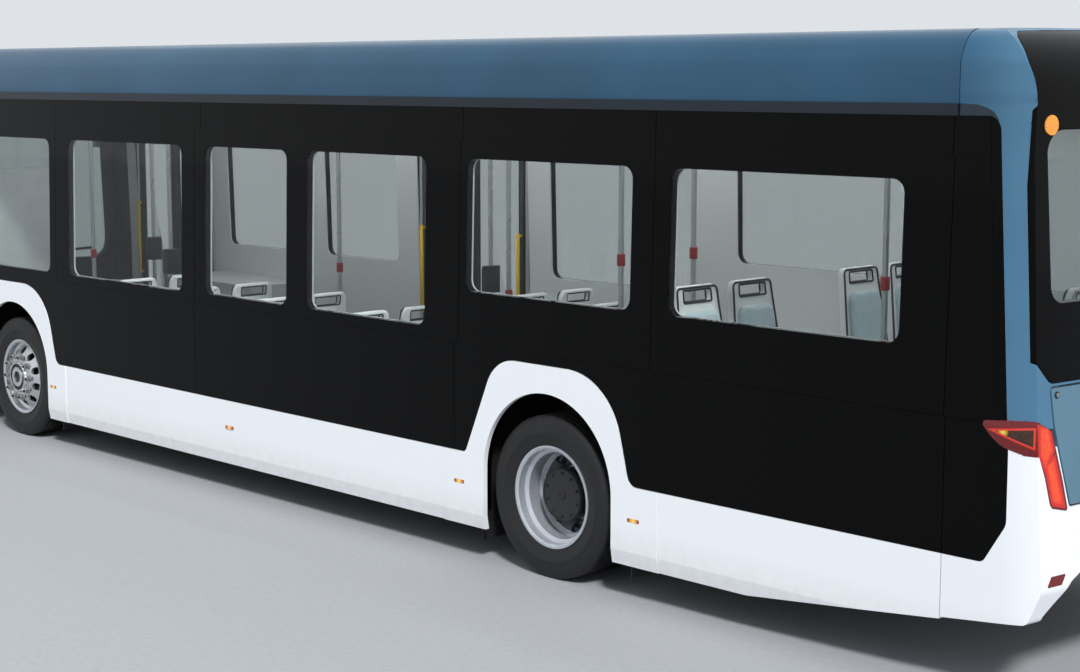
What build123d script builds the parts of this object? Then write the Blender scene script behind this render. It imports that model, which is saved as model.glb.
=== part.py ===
from build123d import *
from math import atan2, cos, degrees, hypot, radians, sin, tan
import os

os.makedirs("parts", exist_ok=True)

# A twelve metre low-floor city bus, in millimetres.
# +X is forward, +Y is the driver's side, +Z is up, and z = 0 is the road.
# The origin is midway along the bus, on its centre plane.

# Overall sizes
bus_length = 12200
half_width = 1275
wheelbase = 6150
rear_overhang = 3300
nose_x = bus_length / 2
tail_x = -bus_length / 2
rear_axle_x = tail_x + rear_overhang
front_axle_x = rear_axle_x + wheelbase

# The overhangs and wheelbase on which the places along the bus are drawn
drawn_wheelbase = 6150
drawn_rear_overhang = 3300
drawn_front_overhang = 2750

# Heights of the body's horizontal lines
skirt_bottom_z = 209
skirt_fold_z = 290
skirt_top_z = 658
belt_z = 1310
toplight_z = 2510
wall_top_z = 2700
ledge_top_z = 2755
roof_top_z = 3110

# Walls
surround_proud = 6
panel_y = half_width - surround_proud
window_lean = 1.6
wall_thickness = 60
skirt_thickness = 24
hem_inset = 14
hem_drop = skirt_fold_z - skirt_bottom_z
seam = 4
seam_depth = 5
fit_gap = 0.3

# Floor
floor_top_z = 350
floor_thickness = 30
deck_top_z = 750
deck_front_x = rear_axle_x + 900
bulkhead_x = tail_x + 760

# Towing sockets
tow_y = -300
tow_radius = 22
front_tow_z = 640
rear_tow_z = 720

# Wheels and tyres, 275/70 R22.5
tyre_radius = 478
tyre_width = 276
bead_radius = 286
rim_half_width = 120
tyre_outer_y = 1235
wheel_y = tyre_outer_y - tyre_width / 2
twin_spacing = 314
wheel_z = tyre_radius
kingpin_y = 900

# Doors, on the kerb side: each leaf hangs on two arms of an upright turning post
door_thickness = 40
door_plane_y = panel_y - 52
door_meeting_gap = 10
door_edge_gap = 6
door_clearance = 6
door_arm_length = 300
door_arm_thickness = 14
door_arm_width = 40
door_post_radius = 20
door_post_inset = 30
door_pin_radius = 10
door_bottom_z = floor_top_z + 2 * door_clearance + door_arm_thickness
door_top_z = 2376
door_header_z = door_top_z + 2 * door_clearance + door_arm_thickness
door_header_height = 37


def station(x):
    """A place along the bus, drawn as its distance ahead of the rear axle."""
    if x < 0:
        return rear_axle_x + x * rear_overhang / drawn_rear_overhang
    if x < drawn_wheelbase:
        return rear_axle_x + x * wheelbase / drawn_wheelbase
    return front_axle_x + (x - drawn_wheelbase) * (nose_x - front_axle_x) / drawn_front_overhang


def outline(points, radius=0):
    """A closed outline of straight runs, each corner rounded to its own radius."""
    corners = [Vector(*point) for point in points]
    radii = [radius] * len(corners) if isinstance(radius, (int, float)) else radius
    edges = []
    ends = []
    for i, (corner, r) in enumerate(zip(corners, radii)):
        to_last = (corners[i - 1] - corner).normalized()
        to_next = (corners[(i + 1) % len(corners)] - corner).normalized()
        half_angle = radians(to_last.get_angle(to_next)) / 2
        reach = r / tan(half_angle)
        start, end = corner + to_last * reach, corner + to_next * reach
        if r > 0:
            towards = (to_last + to_next).normalized()
            crown = corner + towards * (r / sin(half_angle) - r)
            edges.append(ThreePointArc(start, crown, end))
        ends.append((start, end))
    for i in range(len(ends)):
        start, end = ends[i - 1][1], ends[i][0]
        if (end - start).length > 0.001:
            edges.append(Line(start, end))
    return make_face(edges)


def across(face, low_y, high_y):
    """A side-view outline (X, Z) carried across the bus."""
    return Pos(0, low_y, 0) * extrude(Plane.XZ * face, -(high_y - low_y))


def along(face, low_x, high_x):
    """A section outline (Y, Z) carried along the bus."""
    return Pos(low_x, 0, 0) * extrude(Plane.YZ * face, high_x - low_x)


def upward(face, low_z, high_z):
    """A plan outline (X, Y) carried upwards."""
    return Pos(0, 0, low_z) * extrude(face, high_z - low_z)


def block(low, high):
    """A straight block between two corners."""
    size = [high[i] - low[i] for i in range(3)]
    middle = [(high[i] + low[i]) / 2 for i in range(3)]
    return Pos(*middle) * Box(*size)


def mirrored(points):
    """Half an outline, listed from the centre plane out, and its other half."""
    return points + [(-p[0], p[1]) for p in reversed(points) if p[0] != 0]


def both_sides(shape):
    """A shape and its mirror image across the centre plane."""
    return [shape, mirror(shape, Plane.XZ)]


def rod(start, end, radius):
    """A round bar between two points."""
    line = Vector(end) - Vector(start)
    plane = Plane(origin=start, z_dir=line)
    return extrude(plane * Circle(radius), line.length)


def turned(points, centre_y, centre_x, outboard):
    """A wheel-like ring: its half section (y from the middle, radius) turned about the axle."""
    section = Plane.YZ * Polygon(*[(outboard * y, r) for y, r in points], align=None)
    return Pos(centre_x, centre_y, wheel_z) * revolve(section, Axis.Y)


def save(node, *solids):
    """One file for each piece. Like pieces that do not touch share one."""
    shape = solids[0] if len(solids) == 1 else Compound(children=list(solids))
    export_step(shape, "parts/" + node + ".step")


# The body's outer form: a cross section, a plan and a side view, each carried through the others
lean = tan(radians(window_lean))
wall_top_y = panel_y - lean * (wall_top_z - belt_z)
cove_inner_y = 800
roof_crown = 14

# The tail: its middle stands out, it leans forward, and its corners turn in a little before a crisp edge
tail_bow = 80
tail_lean = tan(radians(4))
tail_low_z = 560
tail_swing_radius = half_width**2 / (2 * tail_bow)
roof_end_radius = 580
corner_radius = 800
corner_length = 200
nose_bow = 150


def plan_face(inset):
    """The plan of the body, with its bowed nose and round front corners."""
    side = half_width - inset
    tail = tail_x + inset
    nose = nose_x - inset
    half = [(tail - 20, side), (nose - nose_bow, side), (nose, 480)]
    points = half + [(x, -y) for x, y in reversed(half)]
    radii = [0, 420 - inset, 1500]
    return outline(points, radii + radii[::-1])


def tail_line(z):
    """Where the leaning tail stands at a height, on the centre plane."""
    return tail_x + tail_lean * (z - tail_low_z)


def side_face(inset):
    """The side view of the body: raked screen, rounded roof ends and a rising tail."""
    points = [
        (nose_x - 90 - inset, skirt_bottom_z + 60),
        (nose_x + 4 - inset, 560),
        (nose_x + 4 - inset, 1050),
        (nose_x - 190 - inset, roof_top_z + 6 - inset),
        (tail_line(roof_top_z + 6 - inset) + inset, roof_top_z + 6 - inset),
        (tail_x + inset, tail_low_z),
        (tail_x + 60 + inset, 400 - inset),
        (rear_axle_x - 1500, skirt_bottom_z - inset),
        (nose_x - 900, skirt_bottom_z - inset),
    ]
    return outline(points, [60, 160, 300, 330, roof_end_radius - inset, 80, 40, 400, 300])


def section_face(inset):
    """The cross section of the body: upright sides, windows leaning in and a rounded cove."""
    wall_top = wall_top_y - inset
    points = mirrored([
        (0, skirt_bottom_z - 2 * hem_drop),
        (panel_y - 2 * hem_inset - inset, skirt_bottom_z - hem_drop),
        (panel_y - inset, skirt_fold_z),
        (panel_y - inset, belt_z),
        (wall_top, ledge_top_z + 20),
        (cove_inner_y + 60, roof_top_z - roof_crown - inset),
        (0, roof_top_z - inset),
    ])
    radii = [0, 0, 0, 0, 110, 220, 0, 220, 110, 0, 0, 0]
    return outline(points, radii)


def side_band(outer_inset, inner_inset):
    """The layer of the driver's side wall between two depths, over the bus's length."""
    def line(inset):
        top = wall_top_z + 60
        return [
            (panel_y - hem_inset - inset, skirt_bottom_z - 1),
            (panel_y - inset, skirt_fold_z),
            (panel_y - inset, belt_z),
            (panel_y - inset - lean * (top - belt_z), top),
        ]
    return along(Polygon(*line(outer_inset), *reversed(line(inner_inset)), align=None), tail_x, nose_x)


def corner_cuts(inset):
    """What the turned-in rear corners leave out: upright to the belt, then leaning in with the windows."""
    start_x = tail_line(belt_z) + tail_bow + corner_length
    centre = (start_x, panel_y - corner_radius)
    region = Pos(start_x - 200, panel_y) * Rectangle(400, 500)
    region = Plane.XY.offset(belt_z) * (region - Pos(*centre) * Circle(corner_radius - inset))
    up = Vector(tail_lean, -lean, 1) * (roof_top_z + 40 - belt_z)
    down = Vector(-tail_lean, 0, -1) * (belt_z - skirt_bottom_z + 200)
    cut = extrude(region, up.length, dir=up) + extrude(region, down.length, dir=down)
    return both_sides(cut)


def body_form(inset):
    """The three views carried through each other, the side view swung about an upright axis at the tail."""
    middle_x = rear_axle_x - 1400
    form = along(section_face(inset), tail_x - 10, nose_x + 10)
    form = form & upward(plan_face(inset), skirt_bottom_z - 200, roof_top_z + 10)
    ahead = Pos(middle_x + 10000 - 200, 1600) * Rectangle(20000, 4000)
    behind = Pos(middle_x - 5000 + 200, 1600) * Rectangle(10000, 4000)
    front_slab = across(side_face(inset) & ahead, -half_width - 10, half_width + 10)
    swing_axis = Axis((tail_x + tail_swing_radius, 0, 0), (0, 0, 1))
    tail_face = Rot(90, 0, 0) * (side_face(inset) & behind)
    tail_slab = tail_face.rotate(swing_axis, -10.5)
    tail_slab = revolve(tail_slab, swing_axis, 21)
    form = form & (front_slab + tail_slab)
    for cut in corner_cuts(inset):
        form = form - cut
    return form


outer_form = body_form(0)
inner_form = body_form(wall_thickness)
body_shell = outer_form - inner_form
side_profile = across(side_face(0), -half_width - 10, half_width + 10)

# Side view outlines
wall_front_x = nose_x - 510
wall_rear_x = station(-3042)
rear_seam_x = station(-2700)
cove_front_x = nose_x - 700
sill_z = floor_top_z - floor_thickness
wall_outline = outline(
    [
        (wall_front_x, skirt_top_z),
        (wall_front_x, wall_top_z),
        (wall_rear_x + 122, wall_top_z),
        (wall_rear_x + 3, 1190),
        (wall_rear_x, 850),
        (wall_rear_x + 118, skirt_top_z),
    ],
    [0, 0, 70, 300, 80, 40],
)

arch_top_z = 1090
arch_half = 525
surround_top_z = 1253
surround_ends = {"front": (800, 780), "rear": (875, 895)}
arches = {"front": front_axle_x, "rear": rear_axle_x - 15}
door_openings = {"front": (station(6950), station(8250)), "middle": (station(2740), station(4040))}


def arch_outline(middle_x, grow=0):
    """The round-headed wheel opening, open at the bottom."""
    half = arch_half + grow
    top = arch_top_z + grow
    low = -100
    edges = [
        Line((middle_x - half, low), (middle_x + half, low)),
        Line((middle_x + half, low), (middle_x + half, top - half)),
        ThreePointArc((middle_x + half, top - half), (middle_x, top), (middle_x - half, top - half)),
        Line((middle_x - half, top - half), (middle_x - half, low)),
    ]
    return make_face(edges)


def surround_outline(middle_x, rearward, forward, grow=0):
    """The panel round a wheel: a skirt at each side and an arch that is rounder to the rear."""
    step_z = skirt_top_z + grow
    points = [
        (middle_x - rearward - grow, skirt_bottom_z - 60),
        (middle_x - rearward - grow, step_z),
        (middle_x - 657 - grow, step_z),
        (middle_x - 506 - grow, surround_top_z + grow),
        (middle_x + 424 + grow, surround_top_z + grow),
        (middle_x + 688 + grow, step_z),
        (middle_x + forward + grow, step_z),
        (middle_x + forward + grow, skirt_bottom_z - 60),
    ]
    return outline(points, [0, 3, 70, 430, 250, 40, 3, 0])


def arch_cuts(low_y, high_y):
    return [across(arch_outline(middle_x), low_y, high_y) for middle_x in arches.values()]


# Windows: clear openings, each from one station to another with its lower edge, all to one top line
window_top_z = 2400
window_corner = 70
windows = {
    "left": [
        (-2420, -940, 1620),
        (-660, 680, 1620),
        (1050, 2240, 1380),
        (2460, 3410, 1380),
        (3700, 5260, 1370),
        (5540, 6700, 1370),
        (6950, 8240, 1130),
    ],
    "right": [
        (-2420, -940, 1620),
        (-660, 680, 1620),
        (1050, 2500, 1380),
        (4300, 5260, 1370),
        (5540, 6700, 1370),
    ],
}
side_of = {"left": 1, "right": -1}


def side_span(side):
    """The band in Y that holds one side wall."""
    return (900, half_width + 40) if side == "left" else (-half_width - 40, -900)


def window_opening(window, grow=0):
    low_x, high_x, low_z = station(window[0]), station(window[1]), window[2]
    width = high_x - low_x + 2 * grow
    height = window_top_z - low_z + 2 * grow
    middle = ((low_x + high_x) / 2, (window_top_z + low_z) / 2)
    return Pos(*middle) * RectangleRounded(width, height, window_corner + grow)


# Seams between the panels of a side: upright ones as station, low z, high z, and level ones as z
upright_seams = [
    (3460, toplight_z, wall_top_z),
    (720, toplight_z, wall_top_z),
    (-820, toplight_z, wall_top_z),
    (-2680, toplight_z, wall_top_z),
    (3540, belt_z, toplight_z),
    (740, belt_z, toplight_z),
    (-820, belt_z, toplight_z),
    (-2690, belt_z, toplight_z),
    (5450, belt_z, wall_top_z),
    (3550, skirt_top_z, belt_z),
    (780, skirt_top_z, belt_z),
    (-2700, skirt_top_z, belt_z),
]
level_seams = [belt_z, toplight_z]


def seam_cuts(side):
    low_y, high_y = side_span(side)
    half = seam / 2
    bars = []
    for place, low, high in upright_seams:
        bars.append(block((station(place) - half, low_y, low), (station(place) + half, high_y, high)))
    bars += [block((tail_x, low_y, z - half), (wall_front_x, high_y, z + half)) for z in level_seams]
    grooves = side_band(-5, seam_depth)
    if side == "right":
        grooves = mirror(grooves, Plane.XZ)
    return Compound([grooves & bar for bar in bars])


# Tail lamp: a leg down the rear face and a wedge round the side
def from_side(points):
    """Points of the rear face drawn on a bus 1275 wide to its side, kept at their distance from the side."""
    return [(y + half_width - 1275, z) for y, z in points]


lamp_leg = outline(
    from_side([
        (1041, 912), (1152, 938), (1167, 956), (1196, 1080), (1232, 1182), (1330, 1182),
        (1330, 1342), (1242, 1338), (1142, 1288), (1113, 1195), (1072, 1050),
    ]),
    [10, 12, 10, 60, 0, 0, 0, 8, 12, 100, 100],
)
lamp_wedge = outline(
    [
        (wall_rear_x + 119, 1298), (wall_rear_x + 85, 1247), (wall_rear_x + 22, 1209),
        (tail_x + 130, 1192), (tail_x + 130, 1335),
    ],
    [8, 30, 40, 0, 0],
)


def lamp_solid(grow=0):
    """The space of one tail lamp, on the driver's side."""
    leg = offset(lamp_leg, grow) if grow else lamp_leg
    wedge = offset(lamp_wedge, grow) if grow else lamp_wedge
    return along(leg, tail_x - 10, tail_x + 190) + across(wedge, half_width - 65, half_width + 40)


lamp_spaces = both_sides(lamp_solid(seam / 2))
tail_lamps = both_sides(body_shell & lamp_solid())

# Red reflectors, let into the rear bumper
reflector_outline = outline(from_side([(1203, 578), (1171, 626), (1065, 626), (1097, 578)]), 6)
reflector_depth = (tail_x - 10, tail_x + 110)
tail_lamps += both_sides(along(reflector_outline, *reflector_depth) & (outer_form - Pos(20, 0, 0) * outer_form))
reflector_space = along(offset(reflector_outline, fit_gap), *reflector_depth)
reflector_spaces = both_sides(reflector_space - Pos(20 + fit_gap, 0, 0) * outer_form)


def side_wall(side):
    """Waist, pillars and cantrail of one side, as thick as the whole wall, with its windows cut."""
    low_y, high_y = side_span(side)
    wall = body_shell & across(wall_outline, low_y, high_y)
    flange_outline = outline([
        (wall_front_x, sill_z),
        (wall_front_x, skirt_top_z + 40),
        (rear_seam_x, skirt_top_z + 40),
        (rear_seam_x, sill_z + 160),
        (rear_axle_x - 1500, sill_z),
    ])
    flange = side_band(skirt_thickness + fit_gap, wall_thickness)
    if side == "right":
        flange = mirror(flange, Plane.XZ)
    wall = wall + (flange & across(flange_outline, low_y, high_y))
    for window in windows[side]:
        wall = wall - across(window_opening(window), low_y, high_y)
    outer_low = panel_y - skirt_thickness - fit_gap
    outer_band = (outer_low, half_width + 40) if side == "left" else (-half_width - 40, -outer_low)
    for name, middle_x in arches.items():
        rearward, forward = surround_ends[name]
        wall = wall - across(surround_outline(middle_x, rearward, forward, seam / 2), *outer_band)
        wall = wall - across(arch_outline(middle_x, 2), low_y, high_y)
    wall = wall - seam_cuts(side).solids()
    if side == "left":
        wall = wall - lamp_spaces[0]
    else:
        wall = wall - lamp_spaces[1]
        for low_x, high_x in door_openings.values():
            wall = wall - block((low_x, low_y, floor_top_z), (high_x, high_y, door_header_z + door_header_height))
    return wall


left_wall = side_wall("left")
right_wall = side_wall("right")
save("left_wall", left_wall)
save("right_wall", right_wall)
save("tail_lamps", *tail_lamps)

# Side markers: amber lamps let into the skirts and surrounds, by station
marker_size = (90, 22)
marker_z = 470
marker_depth = 16
marker_places = {"left": [5540, 3140, 730, -710], "right": [5540, 4550, 730, -710]}
side_markers = []
marker_pockets = []
for side, sign in side_of.items():
    for place in marker_places[side]:
        for solids, grow in ((side_markers, 0), (marker_pockets, fit_gap)):
            shape = RectangleRounded(marker_size[0] + 2 * grow, marker_size[1] + 2 * grow, 8 + grow)
            low, high = sorted((sign * (half_width - marker_depth - grow), sign * (half_width + 10 * grow)))
            solids.append(across(Pos(station(place), marker_z) * shape, low, high))

# Round amber lamps high on the tail, standing a little proud of it
high_lamp_radius = 45
high_lamp_pockets = []
for place in ((175 - half_width, 2662), (half_width - 175, 2662)):
    for solids, radius, out, back in (
        (side_markers, high_lamp_radius, 6, 20), (high_lamp_pockets, high_lamp_radius + fit_gap, 0, 20 + fit_gap),
    ):
        barrel = along(Pos(*place) * Circle(radius), tail_x - 20, tail_x + 400)
        solids.append(barrel & (Pos(-out, 0, 0) * outer_form - Pos(back, 0, 0) * outer_form))
save("amber_lamps", *side_markers)

# Skirts: flush panels between the wheel surrounds, and the sills under the doors
skirt_splits = [rear_axle_x + 2370, rear_axle_x + 3870]
skirt_spans = [
    (rear_seam_x + seam / 2, arches["rear"] - surround_ends["rear"][0]),
    (arches["rear"] + surround_ends["rear"][1], skirt_splits[0]),
    (skirt_splits[0], skirt_splits[1]),
    (skirt_splits[1], arches["front"] - surround_ends["front"][0]),
    (arches["front"] + surround_ends["front"][1], wall_front_x),
]
skirts = []
for low_x, high_x in skirt_spans:
    panel = side_band(0, skirt_thickness) & side_profile
    panel = panel & block((low_x + seam / 2, 0, 0), (high_x - seam / 2, half_width + 40, skirt_top_z - seam / 2))
    skirts += both_sides(panel)
sill_top_z = floor_top_z
for i in range(len(skirts)):
    if skirts[i].center().Y < 0:
        for low_x, high_x in door_openings.values():
            cut = block((low_x, -half_width - 40, sill_top_z), (high_x, 0, skirt_top_z + 10))
            skirts[i] = skirts[i] - cut
skirts = [skirt - marker_pockets for skirt in skirts]
save("skirt_panels", *skirts)

# Wheel surrounds, standing a little proud of the side
surrounds = []
for name, middle_x in arches.items():
    rearward, forward = surround_ends[name]
    low_y = panel_y - skirt_thickness
    piece = across(surround_outline(middle_x, rearward, forward, -seam / 2), low_y - 60, half_width + 40)
    piece = piece - across(arch_outline(middle_x), 0, half_width + 40)
    piece = piece & side_band(-surround_proud, skirt_thickness)
    surrounds += [side_piece - marker_pockets for side_piece in both_sides(piece)]
save("wheel_surrounds", *surrounds)

# Side glass: flush panes in the window openings
pane_thickness = 6
panes = []
for window in windows["left"]:
    panes.append(side_band(0, pane_thickness) & across(window_opening(window, -fit_gap), 900, half_width + 40))
for window in windows["right"]:
    pane = side_band(0, pane_thickness) & across(window_opening(window, -fit_gap), 900, half_width + 40)
    panes.append(mirror(pane, Plane.XZ))
save("side_glass", *panes)

# Roof: the deck over the cabin, the coves along its edges and the ledges under them
deck_half = wall_top_y - wall_thickness / 2
deck_front = nose_x - 520
deck_rear = tail_x + 330
roof_deck = block((deck_rear, -deck_half, wall_top_z), (deck_front, deck_half, ledge_top_z))
save("roof_deck", roof_deck)
ledge = block(
    (rear_seam_x + seam / 2, deck_half + fit_gap, wall_top_z + fit_gap),
    (cove_front_x, wall_top_y + 8, ledge_top_z - fit_gap),
)
save("cantrail_ledges", *both_sides(ledge))
cove_thickness = 22
cove_region = block((rear_seam_x + seam / 2, cove_inner_y, ledge_top_z), (cove_front_x, half_width, roof_top_z + 10))
cove = (outer_form - body_form(cove_thickness)) & cove_region
save("roof_coves", *both_sides(cove))

# Roof ends: the blue dome over the nose, and the blue rear end with its corner pillars
roof_end_low_z = wall_top_z + fit_gap
front_dome = body_shell & block((cove_front_x + seam, -half_width - 5, roof_end_low_z), (nose_x + 5, half_width + 5, roof_top_z + 5))
front_dome = front_dome - block((0, -deck_half - 1, 0), (deck_front + 1, deck_half + 1, ledge_top_z + fit_gap))
save("front_dome", front_dome)

glass_low_z = 1502
glass_rim = 20
glass_front_x = rear_seam_x - 60
hatch_top_z = 1490
hatch_half = [(0, 930), *from_side([(1030, 930), (1128, 1305), (1148, hatch_top_z)]), (0, hatch_top_z)]
hatch_outline = outline(mirrored(hatch_half), [0, 20, 300, 20, 0, 20, 300, 20])
rear_depth = (tail_x - 10, tail_x + 300)


def rear_region(face, grow=0):
    return along(offset(face, grow) if grow else face, *rear_depth)


def glass_region(shrink=0):
    """The black upper part of the tail: all that lies within the rim of the blue corners and roof."""
    foot = glass_low_z + shrink
    corner = half_width - 130 - shrink
    half = [(0, foot), (corner, foot), (corner + 155, foot + 165), (corner + 155, 3300), (0, 3300)]
    low_part = outline(mirrored(half), [0, 60, 0, 0, 0, 0, 0, 60])
    return along(section_face(glass_rim + shrink) & low_part, tail_x - 10, glass_front_x - shrink)


black_side = across(offset(wall_outline, seam / 2), -half_width - 40, half_width + 40)
rear_zone = block((tail_x - 10, -half_width - 10, 0), (rear_seam_x - seam / 2, half_width + 10, roof_top_z + 10))
rear_all = body_shell & rear_zone
rear_all = rear_all - black_side - glass_region() - rear_region(hatch_outline, seam / 2)
for space in lamp_spaces:
    rear_all = rear_all - space
blue_low_z = 1300
rear_shell = rear_all & block((tail_x - 10, -half_width, blue_low_z), (0, half_width, roof_top_z + 5))
rear_shell = rear_shell - block((deck_rear - 1, -deck_half - 1, 0), (0, deck_half + 1, ledge_top_z + fit_gap))
foot_half = [(0, 622), *from_side([(948, 622), (1028, 584), (1118, 484), (1160, 430), (1160, 0)]), (0, 0)]
bumper_foot = outline(mirrored(foot_half), [0, 60, 60, 30, 10, 0, 0, 0, 10, 30, 60, 60])
rear_bumper = rear_all & block((tail_x - 10, -half_width, 0), (0, half_width, 1215))
rear_bumper = rear_bumper - along(bumper_foot, tail_x - 10, rear_seam_x + 10)
for space in reflector_spaces:
    rear_bumper = rear_bumper - space
rear_bumper = rear_bumper - rod((tail_x + 200, tow_y, rear_tow_z), (tail_x - 20, tow_y, rear_tow_z), tow_radius)
save("rear_shell", rear_shell)
save("rear_bumper", rear_bumper)

# Rear face: the gloss black upper panel with its window, and the blue hatch below it
rear_window_low_z = 1862
rear_window_top_z = 2640
rear_window_half = half_width - 155
rear_window_outline = outline(
    mirrored([
        (0, rear_window_low_z),
        (rear_window_half, rear_window_low_z),
        (rear_window_half, rear_window_top_z),
        (0, rear_window_top_z),
    ]),
    [0, 80, 110, 0, 110, 80],
)
wall_zone = across(offset(wall_outline, seam), -half_width - 40, half_width + 40)
rear_panel = body_shell & glass_region(seam) - wall_zone
rear_panel = rear_panel - block((deck_rear - 1, -deck_half - 1, 0), (0, deck_half + 1, ledge_top_z + fit_gap))
rear_panel = rear_panel - rear_region(rear_window_outline)
joint_z = 1770
joint = block((tail_x - 10, -half_width, joint_z - seam / 2), (rear_seam_x, half_width, joint_z + seam / 2))
rear_panel = rear_panel - (joint - Pos(seam_depth, 0, 0) * outer_form)
rear_panel = rear_panel - high_lamp_pockets
save("rear_panel", rear_panel)
rear_pane = body_shell & rear_region(rear_window_outline, -fit_gap)
pane_back = Pos(10, 0, 0) * outer_form
rear_window = rear_pane - pane_back
save("rear_window", rear_window)

hatch_gap = 9
rear_hatch = body_shell & rear_region(hatch_outline, -hatch_gap)
hatch_back = Pos(34, 0, 0) * outer_form
rear_hatch = rear_hatch - hatch_back
barrel_radius = 6
hinge_z = hatch_top_z + seam / 2 - fit_gap - barrel_radius
hinge_x = tail_line(hinge_z) + 2
for middle_y in (-260, 0, 260):
    rear_hatch = rear_hatch + rod((hinge_x, middle_y - 60, hinge_z), (hinge_x, middle_y + 60, hinge_z), barrel_radius)
save("rear_hatch", rear_hatch)

# Front: the black mask, windscreen, bumper and headlamps
mask_low_z = 900
screen_outline = outline(
    mirrored([(0, 1130), (1090, 1130), (1120, 1300), (1090, 2560), (0, 2560)]),
    [0, 120, 300, 120, 0, 120, 300, 120],
)
front_depth = (wall_front_x + seam, nose_x + 10)
headlamp_outline = outline([(700, 640), (1090, 700), (1290, 760), (1290, 880), (1060, 850), (700, 760)], [40, 60, 0, 0, 60, 30])
headlamp_solid = along(headlamp_outline, nose_x - 330, nose_x + 10)
headlamp_space = along(offset(headlamp_outline, fit_gap), nose_x - 340, nose_x + 10)
front_zone = block((front_depth[0], -half_width - 10, 0), (front_depth[1], half_width + 10, wall_top_z))
front_all = body_shell & front_zone
front_all = front_all - along(screen_outline, *front_depth)
for space in both_sides(headlamp_space):
    front_all = front_all - space
front_mask = front_all & block((0, -half_width, mask_low_z), (nose_x + 10, half_width, wall_top_z))
front_bumper = front_all & block((0, -half_width, 0), (nose_x + 10, half_width, mask_low_z - fit_gap))
front_bumper = front_bumper - rod((nose_x - 200, tow_y, front_tow_z), (nose_x + 20, tow_y, front_tow_z), tow_radius)
save("front_mask", front_mask)
save("front_bumper", front_bumper)
windscreen = body_shell & along(offset(screen_outline, -fit_gap), *front_depth)
windscreen = windscreen - Pos(-10, 0, 0) * outer_form
save("windscreen", windscreen)

# Wipers: a flat arm and a blade on each side, lying on the screen
wiper_thickness = 8
wipers = []
for sign in (1, -1):
    pivot, tip = (sign * 250, 1050), (sign * 660, 1190)
    arm = SlotCenterToCenter(hypot(tip[0] - pivot[0], tip[1] - pivot[1]), 34)
    turn = degrees(atan2(tip[1] - pivot[1], tip[0] - pivot[0]))
    arm = Pos((pivot[0] + tip[0]) / 2, (pivot[1] + tip[1]) / 2) * Rot(0, 0, turn) * arm
    blade = Pos(tip[0], tip[1]) * Rot(0, 0, sign * 4) * Rectangle(720, 26)
    face = arm + blade + Pos(*pivot) * Circle(38)
    wipers.append(along(face, nose_x - 200, nose_x + 40) & (Pos(wiper_thickness, 0, 0) * outer_form - outer_form))
save("wipers", *wipers)
save("headlamps", *both_sides(body_shell & headlamp_solid))

# Wheels
tyre_half_section = [
    (-95, bead_radius), (-138, bead_radius + 105), (-130, tyre_radius - 30), (-108, tyre_radius), (108, tyre_radius),
    (130, tyre_radius - 30), (138, bead_radius + 105), (95, bead_radius), (60, bead_radius), (112, bead_radius + 90),
    (90, tyre_radius - 30), (-90, tyre_radius - 30), (-112, bead_radius + 90), (-60, bead_radius),
]
rim_barrel = [
    (-118, 300), (-108, 300), (-104, bead_radius - fit_gap), (-58, bead_radius - fit_gap), (-44, 262),
    (44, 262), (58, bead_radius - fit_gap), (104, bead_radius - fit_gap),
    (108, 300), (118, 300), (118, 290), (110, 277), (62, 275), (48, 254), (-48, 254), (-62, 275),
    (-110, 277), (-118, 290),
]
nave_radius = 175
hand_hole_radius = 30
hand_holes = 10


def nave(points, centre_x, centre_y, outboard):
    """A wheel disc with its ring of round hand holes."""
    disc = turned(points, centre_y, centre_x, outboard)
    for i in range(hand_holes):
        angle = radians(360 / hand_holes * (i + 0.5))
        x = centre_x + 208 * cos(angle)
        z = wheel_z + 208 * sin(angle)
        hole = Pos(x, centre_y, z) * Rot(90, 0, 0) * Cylinder(hand_hole_radius, 900)
        disc = disc - hole
    return disc


spindle_radius = 45
spindle_clearance = 0.3
front_disc = [
    (120, spindle_radius + spindle_clearance), (135, spindle_radius + spindle_clearance), (135, 150), (128, nave_radius),
    (70, 240), (48, 254.5), (30, 254.5), (60, 232), (112, nave_radius - 8), (120, 140),
]
front_hub = [
    (-90, spindle_radius + spindle_clearance), (160, spindle_radius + spindle_clearance), (160, 78), (135, 84),
    (120, 100), (-30, 100), (-30, 130), (-60, 130), (-60, 90), (-90, 90),
]
rear_disc = [
    (-157, 60), (-145, 60), (-145, 150), (-135, 172), (-60, 240), (-40, 254.5), (-52, 254.5), (-75, 240),
    (-145, 180), (-157, 150),
]


def front_rim(outboard):
    centre_y = outboard * wheel_y
    rim = turned(rim_barrel, centre_y, front_axle_x, outboard)
    rim = rim + nave(front_disc, front_axle_x, centre_y, outboard)
    return rim + turned(front_hub, centre_y, front_axle_x, outboard)


rear_hub = [
    (-400, 60.3), (-20, 60.3), (-20, 20), (28, 20), (28, 146), (20, 157), (2, 158), (0, 138), (-145, 140),
    (-145, 150), (-171, 150), (-171, 110), (-400, 110),
]


def rear_rims(outboard):
    centre_y = outboard * wheel_y
    inner_y = outboard * (wheel_y - twin_spacing)
    outer = turned(rim_barrel, centre_y, rear_axle_x, outboard) + nave(rear_disc, rear_axle_x, centre_y, outboard)
    inner_disc = [(-y, r) for y, r in rear_disc]
    inner = turned(rim_barrel, inner_y, rear_axle_x, outboard) + nave(inner_disc, rear_axle_x, inner_y, outboard)
    return outer + inner + turned(rear_hub, centre_y, rear_axle_x, outboard)


def tyre(centre_x, centre_y):
    return turned(tyre_half_section, centre_y, centre_x, 1)


for side, sign in side_of.items():
    save("front_" + side + "_tyre", tyre(front_axle_x, sign * wheel_y))
    save("front_" + side + "_rim", front_rim(sign))
    twins = [tyre(rear_axle_x, sign * wheel_y), tyre(rear_axle_x, sign * (wheel_y - twin_spacing))]
    save("rear_" + side + "_tyres", *twins)
    save("rear_" + side + "_rims", rear_rims(sign))

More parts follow.
